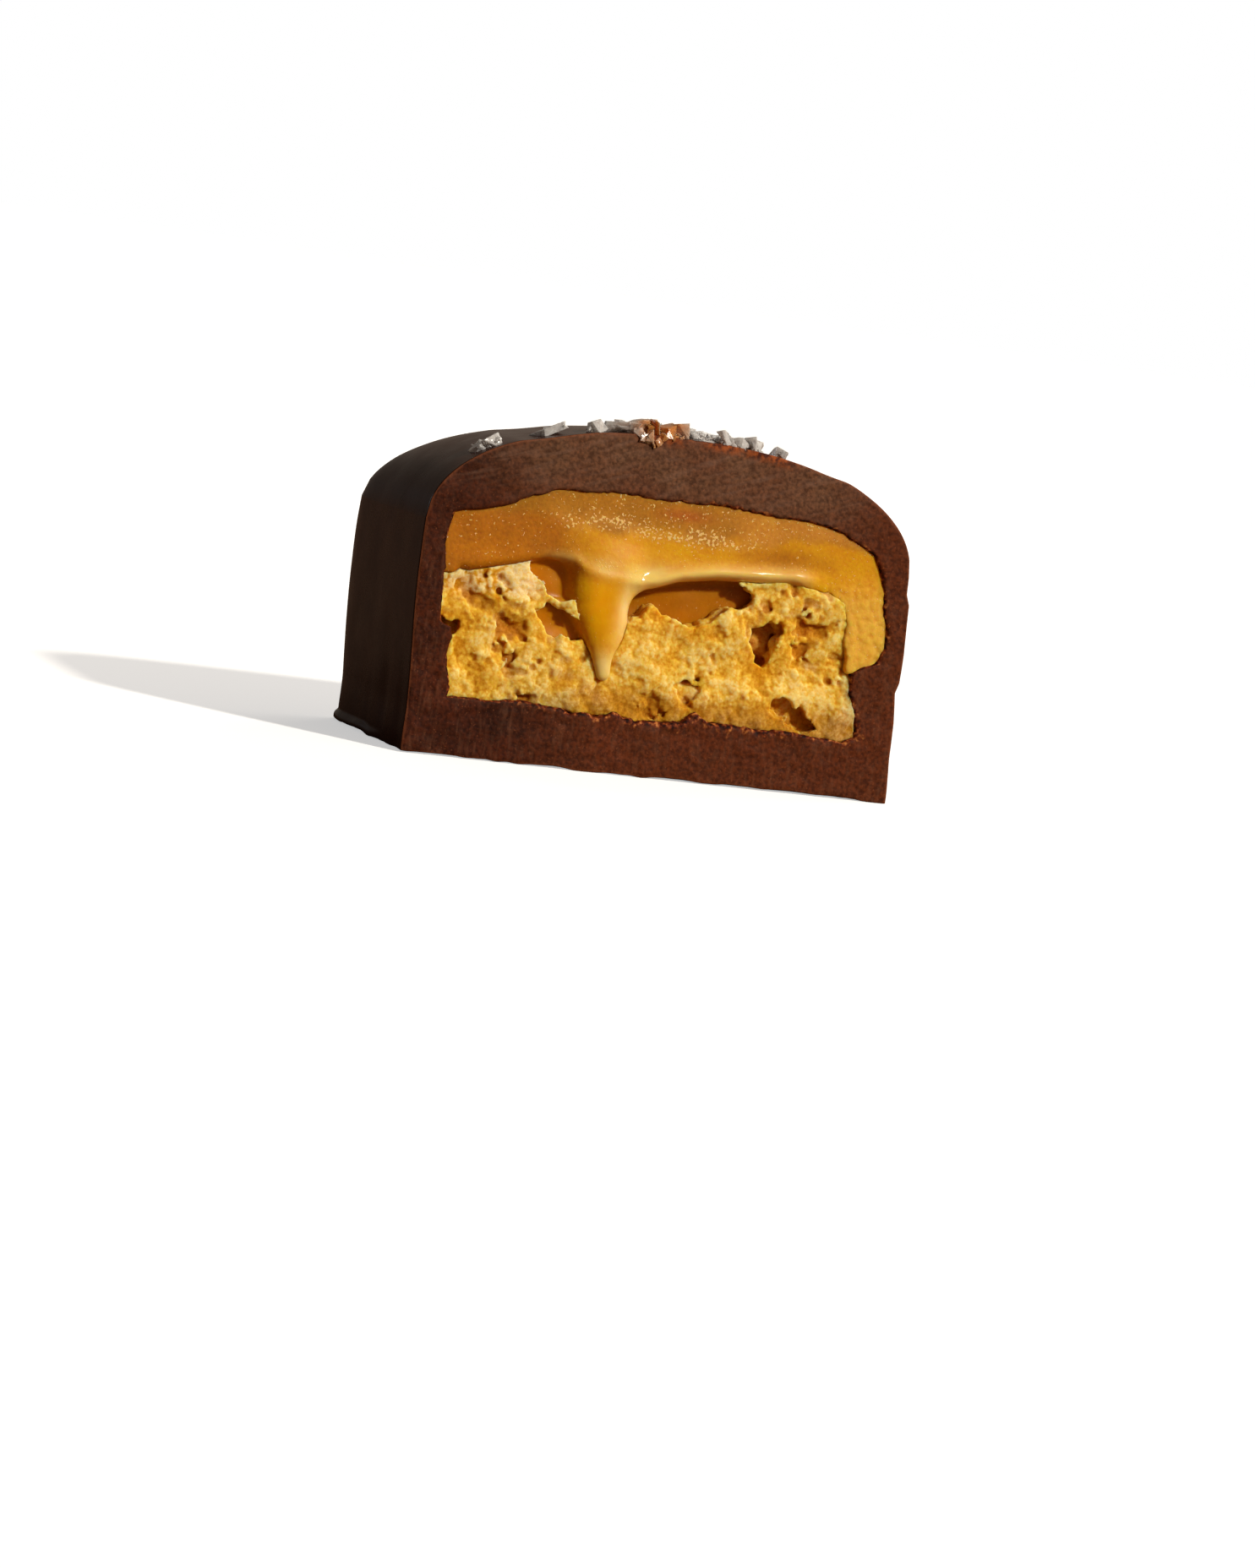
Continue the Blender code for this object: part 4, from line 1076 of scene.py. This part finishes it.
# %% [markdown]
# The crumb's colour follows the same clusters, crumbs and cavities that gave it its relief. What stands out
# is palest, partly as painted light, and most of all along the upper left edge, where the crumbs are
# whitish, and what lies deep is darkest, as painted shade.

# %% Crumb colours
crumb_piece = add_piece("shortbread_crumb", crumb_points, crumb_faces, crumb_finish)
AMBER, GOLDEN, PALE_ON_RAISED = linear(216, 149, 20), linear(234, 181, 56), linear(244, 206, 98)
WHITISH, PAINTED_HOLLOW_SHADE, PAINTED_DEPTH_SHADE = linear(250, 220, 158), linear(190, 112, 12), linear(180, 98, 6)
x, y, z = crumb_points.T
pale_top = ease((-9.5 - x) / 2.0) * ease((z - 12.4 + 0.4 * soft_noise(crumb_points, 1.1, 52)) / 0.9)
pale_floor = 0.2 * ease((6.5 - z) / 1.5) * ease((x - 3.0) / 3.0)
pale_floor += 0.3 * ease((x - 15.4) / 0.8) * ease((10.5 - z) / 1.0)
raised = clusters(crumb_points) / CLUSTER_OUT + 11.0 * (crumbs(crumb_points) - CRUMB_MEAN)
white = (1.3 * pale_top + pale_floor) * ease(0.55 + 1.2 * raised) + 0.4 * ease((raised - 0.6) / 0.6)
# painted shade: darker the further back a point lies in the holes
deep = ease((y - 0.9 + 0.4 * soft_noise(crumb_points, 0.7, 54)) / 1.8)
tone = np.tile(np.array(AMBER), (len(x), 1))
# partly painted light and shade: what stands out is paler and what lies between is amber, and cavities and
# the backs of the holes are painted darker as shade; the whitish crumbs at the upper left are their own
# colour
for share, colour in (
        (ease(0.75 + 0.8 * raised), GOLDEN),
        (ease(0.1 + 0.8 * raised), PALE_ON_RAISED),
        (np.clip(white, 0, 0.85) * (y < 1.5), WHITISH),
        ((0.85 - 0.6 * pale_top) * cavities(crumb_points), PAINTED_HOLLOW_SHADE),
        (0.85 * deep, PAINTED_DEPTH_SHADE),
        (0.65 * ease((7.4 - z) / 1.8) * ease((x + 9.0) / 5.0), linear(206, 136, 20))):
    tone = mixed(tone, share, colour)
shade = 1.0 - 0.03 * ease((-6.0 - x) / 6.0) - 0.20 * ease((7.5 - z) / 2.5) * ease((x + 20.0) / 14.0)
add_values(crumb_piece, "tone", tone * shade[:, None])
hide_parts("shortbread")
print("crumb's mean colour", tone.mean(axis=0).round(3))

# %% [markdown]
# The crystals keep their flat facets, which is what makes salt glitter, so this mesh isn't smoothed. Last,
# all four pieces are told to ride on the one body, so the half moves as one thing.

# %% Salt in place
salt_bm = flake_mesh()
salt_points = np.array([vert.co for vert in salt_bm.verts])
for vert, place in zip(salt_bm.verts, to_model(salt_points)):
    vert.co = place
bmesh.ops.recalc_face_normals(salt_bm, faces=salt_bm.faces)
salt_mesh = bpy.data.meshes.new("salt_flakes")
salt_bm.to_mesh(salt_mesh)
salt_bm.free()
salt_mesh.materials.append(salt_finish)
salt = new_object("salt_flakes", salt_mesh)
from_crown = np.hypot((salt_points[:, 0] + 2.2) / 3.4, (salt_points[:, 1] - 0.6) / 2.0)
add_values(salt, "stain", 0.95 * bump(np.minimum(1.0, from_crown)))
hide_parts("chocolate_coating")
for piece in (coating, caramel, crumb_piece, salt):
    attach(piece, "root")
print("salt", len(salt_mesh.polygons), "faces")

# %% [markdown]
# The half was photographed from its left and a little above, with the camera turned slightly, so the base
# line runs down to the right. The camera stands back about 37 cm with a long lens, which keeps the cut
# face's lines nearly parallel. It is aimed by turning it, so no lens shift is left for other views to
# carry.

# %% Camera
PHOTO_WIDTH, PHOTO_HEIGHT = 1485, 1856
AZIMUTH, ELEVATION, ROLL = math.radians(-21.0), math.radians(4.0), math.radians(8.5)
DISTANCE, PIXELS_PER_MM = 367.0, 15.18
PIVOT = Vector(to_model((0.0, 5.0, 13.0)))
PIVOT_RIGHT, PIVOT_UP = 761.6 - 0.5 * PHOTO_WIDTH, 0.5 * PHOTO_HEIGHT - 715.3
FILM = 36.0

level = Vector((math.cos(AZIMUTH), math.sin(AZIMUTH), 0.0))
back = Vector((math.sin(AZIMUTH), -math.cos(AZIMUTH), 0.0)) * math.cos(ELEVATION)
back.z = math.sin(ELEVATION)
upward = back.cross(level)
right = level * math.cos(ROLL) + upward * math.sin(ROLL)
up = upward * math.cos(ROLL) - level * math.sin(ROLL)
focal = PIXELS_PER_MM * DISTANCE
away = (back + right * (PIVOT_RIGHT / focal) + up * (PIVOT_UP / focal)).normalized()
right = (right - away * right.dot(away)).normalized()
up = away.cross(right)
camera_data = bpy.data.cameras.new("camera")
camera_data.lens = focal * FILM / PHOTO_HEIGHT
camera_data.sensor_width = FILM
camera_data.clip_start = 0.01
camera = new_object("camera", camera_data)
turned = Matrix((right, up, away)).transposed().to_4x4()
camera.matrix_world = Matrix.Translation(PIVOT + back * DISTANCE * MM) @ turned
bpy.context.scene.camera = camera
print("lens", round(camera_data.lens, 1), "mm")

# %% [markdown]
# The light is one warm lamp, high on the right and in front, a little soft at its edges. Two weak lamps
# behind the half give its dark outside a soft sheen, which shows how its sides are rounded.

# %% Lamps
LAMPS_MIDDLE, LAMPS_AWAY = Vector((0.0, 0.0, 0.012)), 0.6


def add_lamp(name, kind, direction, energy, colour, **settings):
    """A lamp that shines from a direction towards the half."""
    data = bpy.data.lights.new(name, kind)
    data.energy = energy
    data.color = colour
    for key, value in settings.items():
        setattr(data, key, value)
    lamp = new_object(name, data)
    lamp.location = LAMPS_MIDDLE + Vector(direction).normalized() * LAMPS_AWAY
    lamp.rotation_euler = Vector(direction).to_track_quat("Z", "Y").to_euler()


add_lamp("key", "SUN", (0.48, -0.70, 0.53), 3.2, (1.0, 0.94, 0.84), angle=math.radians(4.0))
add_lamp("back_softbox", "AREA", (0.75, 0.55, 0.55), 0.9, (1.0, 0.95, 0.88), size=0.35)
add_lamp("low_strip", "AREA", (-0.70, 0.68, 0.22), 0.22, (0.86, 0.92, 1.0), size=0.08)
print("lamps", [lamp.name for lamp in bpy.data.lights])

# %% [markdown]
# The floor and the backdrop are plain and pale to look at. The light that they give back to the half is
# warm and much weaker, and stronger from the right, so that the wall on the left stays nearly as dark as it
# was.

# %% Room and floor
HALF_FLOOR = 6.0


def seen_or_lit(tree, seen, lit):
    """One shader for the camera, and another for the light that reaches the half."""
    path = node(tree, "LightPath")
    is_seen = path.outputs["Is Camera Ray"]
    return node(tree, "MixShader", _0=is_seen, _1=lit.outputs[0], _2=seen.outputs[0]).outputs[0]


world = bpy.data.worlds.new("room")
world.use_nodes = True
tree = world.node_tree
tree.nodes.clear()
around = node(tree, "SeparateXYZ", Vector=node(tree, "TexCoord").outputs["Generated"])
from_right = scaled(tree, around.outputs["X"], -0.4, 0.6, 0.05, 0.4)
seen = node(tree, "Background", Color=(1.0, 1.0, 1.0, 1.0), Strength=1.0)
lit = node(tree, "Background", Color=(1.0, 0.84, 0.68, 1.0), Strength=from_right)
node(tree, "OutputWorld", Surface=seen_or_lit(tree, seen, lit))
bpy.context.scene.world = world
bpy.context.scene.view_settings.view_transform = "Standard"

floor_finish, tree, shader = new_finish("floor")
fill(tree, shader, Base_Color=(0.85, 0.85, 0.85, 1.0), Roughness=0.9, Specular_IOR_Level=0.0,
     Emission_Color=(1.0, 1.0, 1.0, 1.0), Emission_Strength=0.5)
bounce = node(tree, "BsdfDiffuse", Color=(0.16, 0.10, 0.07, 1.0))
fill(tree, tree.nodes["Material Output"], Surface=seen_or_lit(tree, shader, bounce))
floor_mesh = bpy.data.meshes.new("floor")
floor_corners = [(HALF_FLOOR * a, HALF_FLOOR * b, 0.0) for a, b in ((-1, -1), (1, -1), (1, 1), (-1, 1))]
floor_mesh.from_pydata(floor_corners, [], [(0, 1, 2, 3)])
floor_mesh.materials.append(floor_finish)
floor = new_object("floor", floor_mesh)
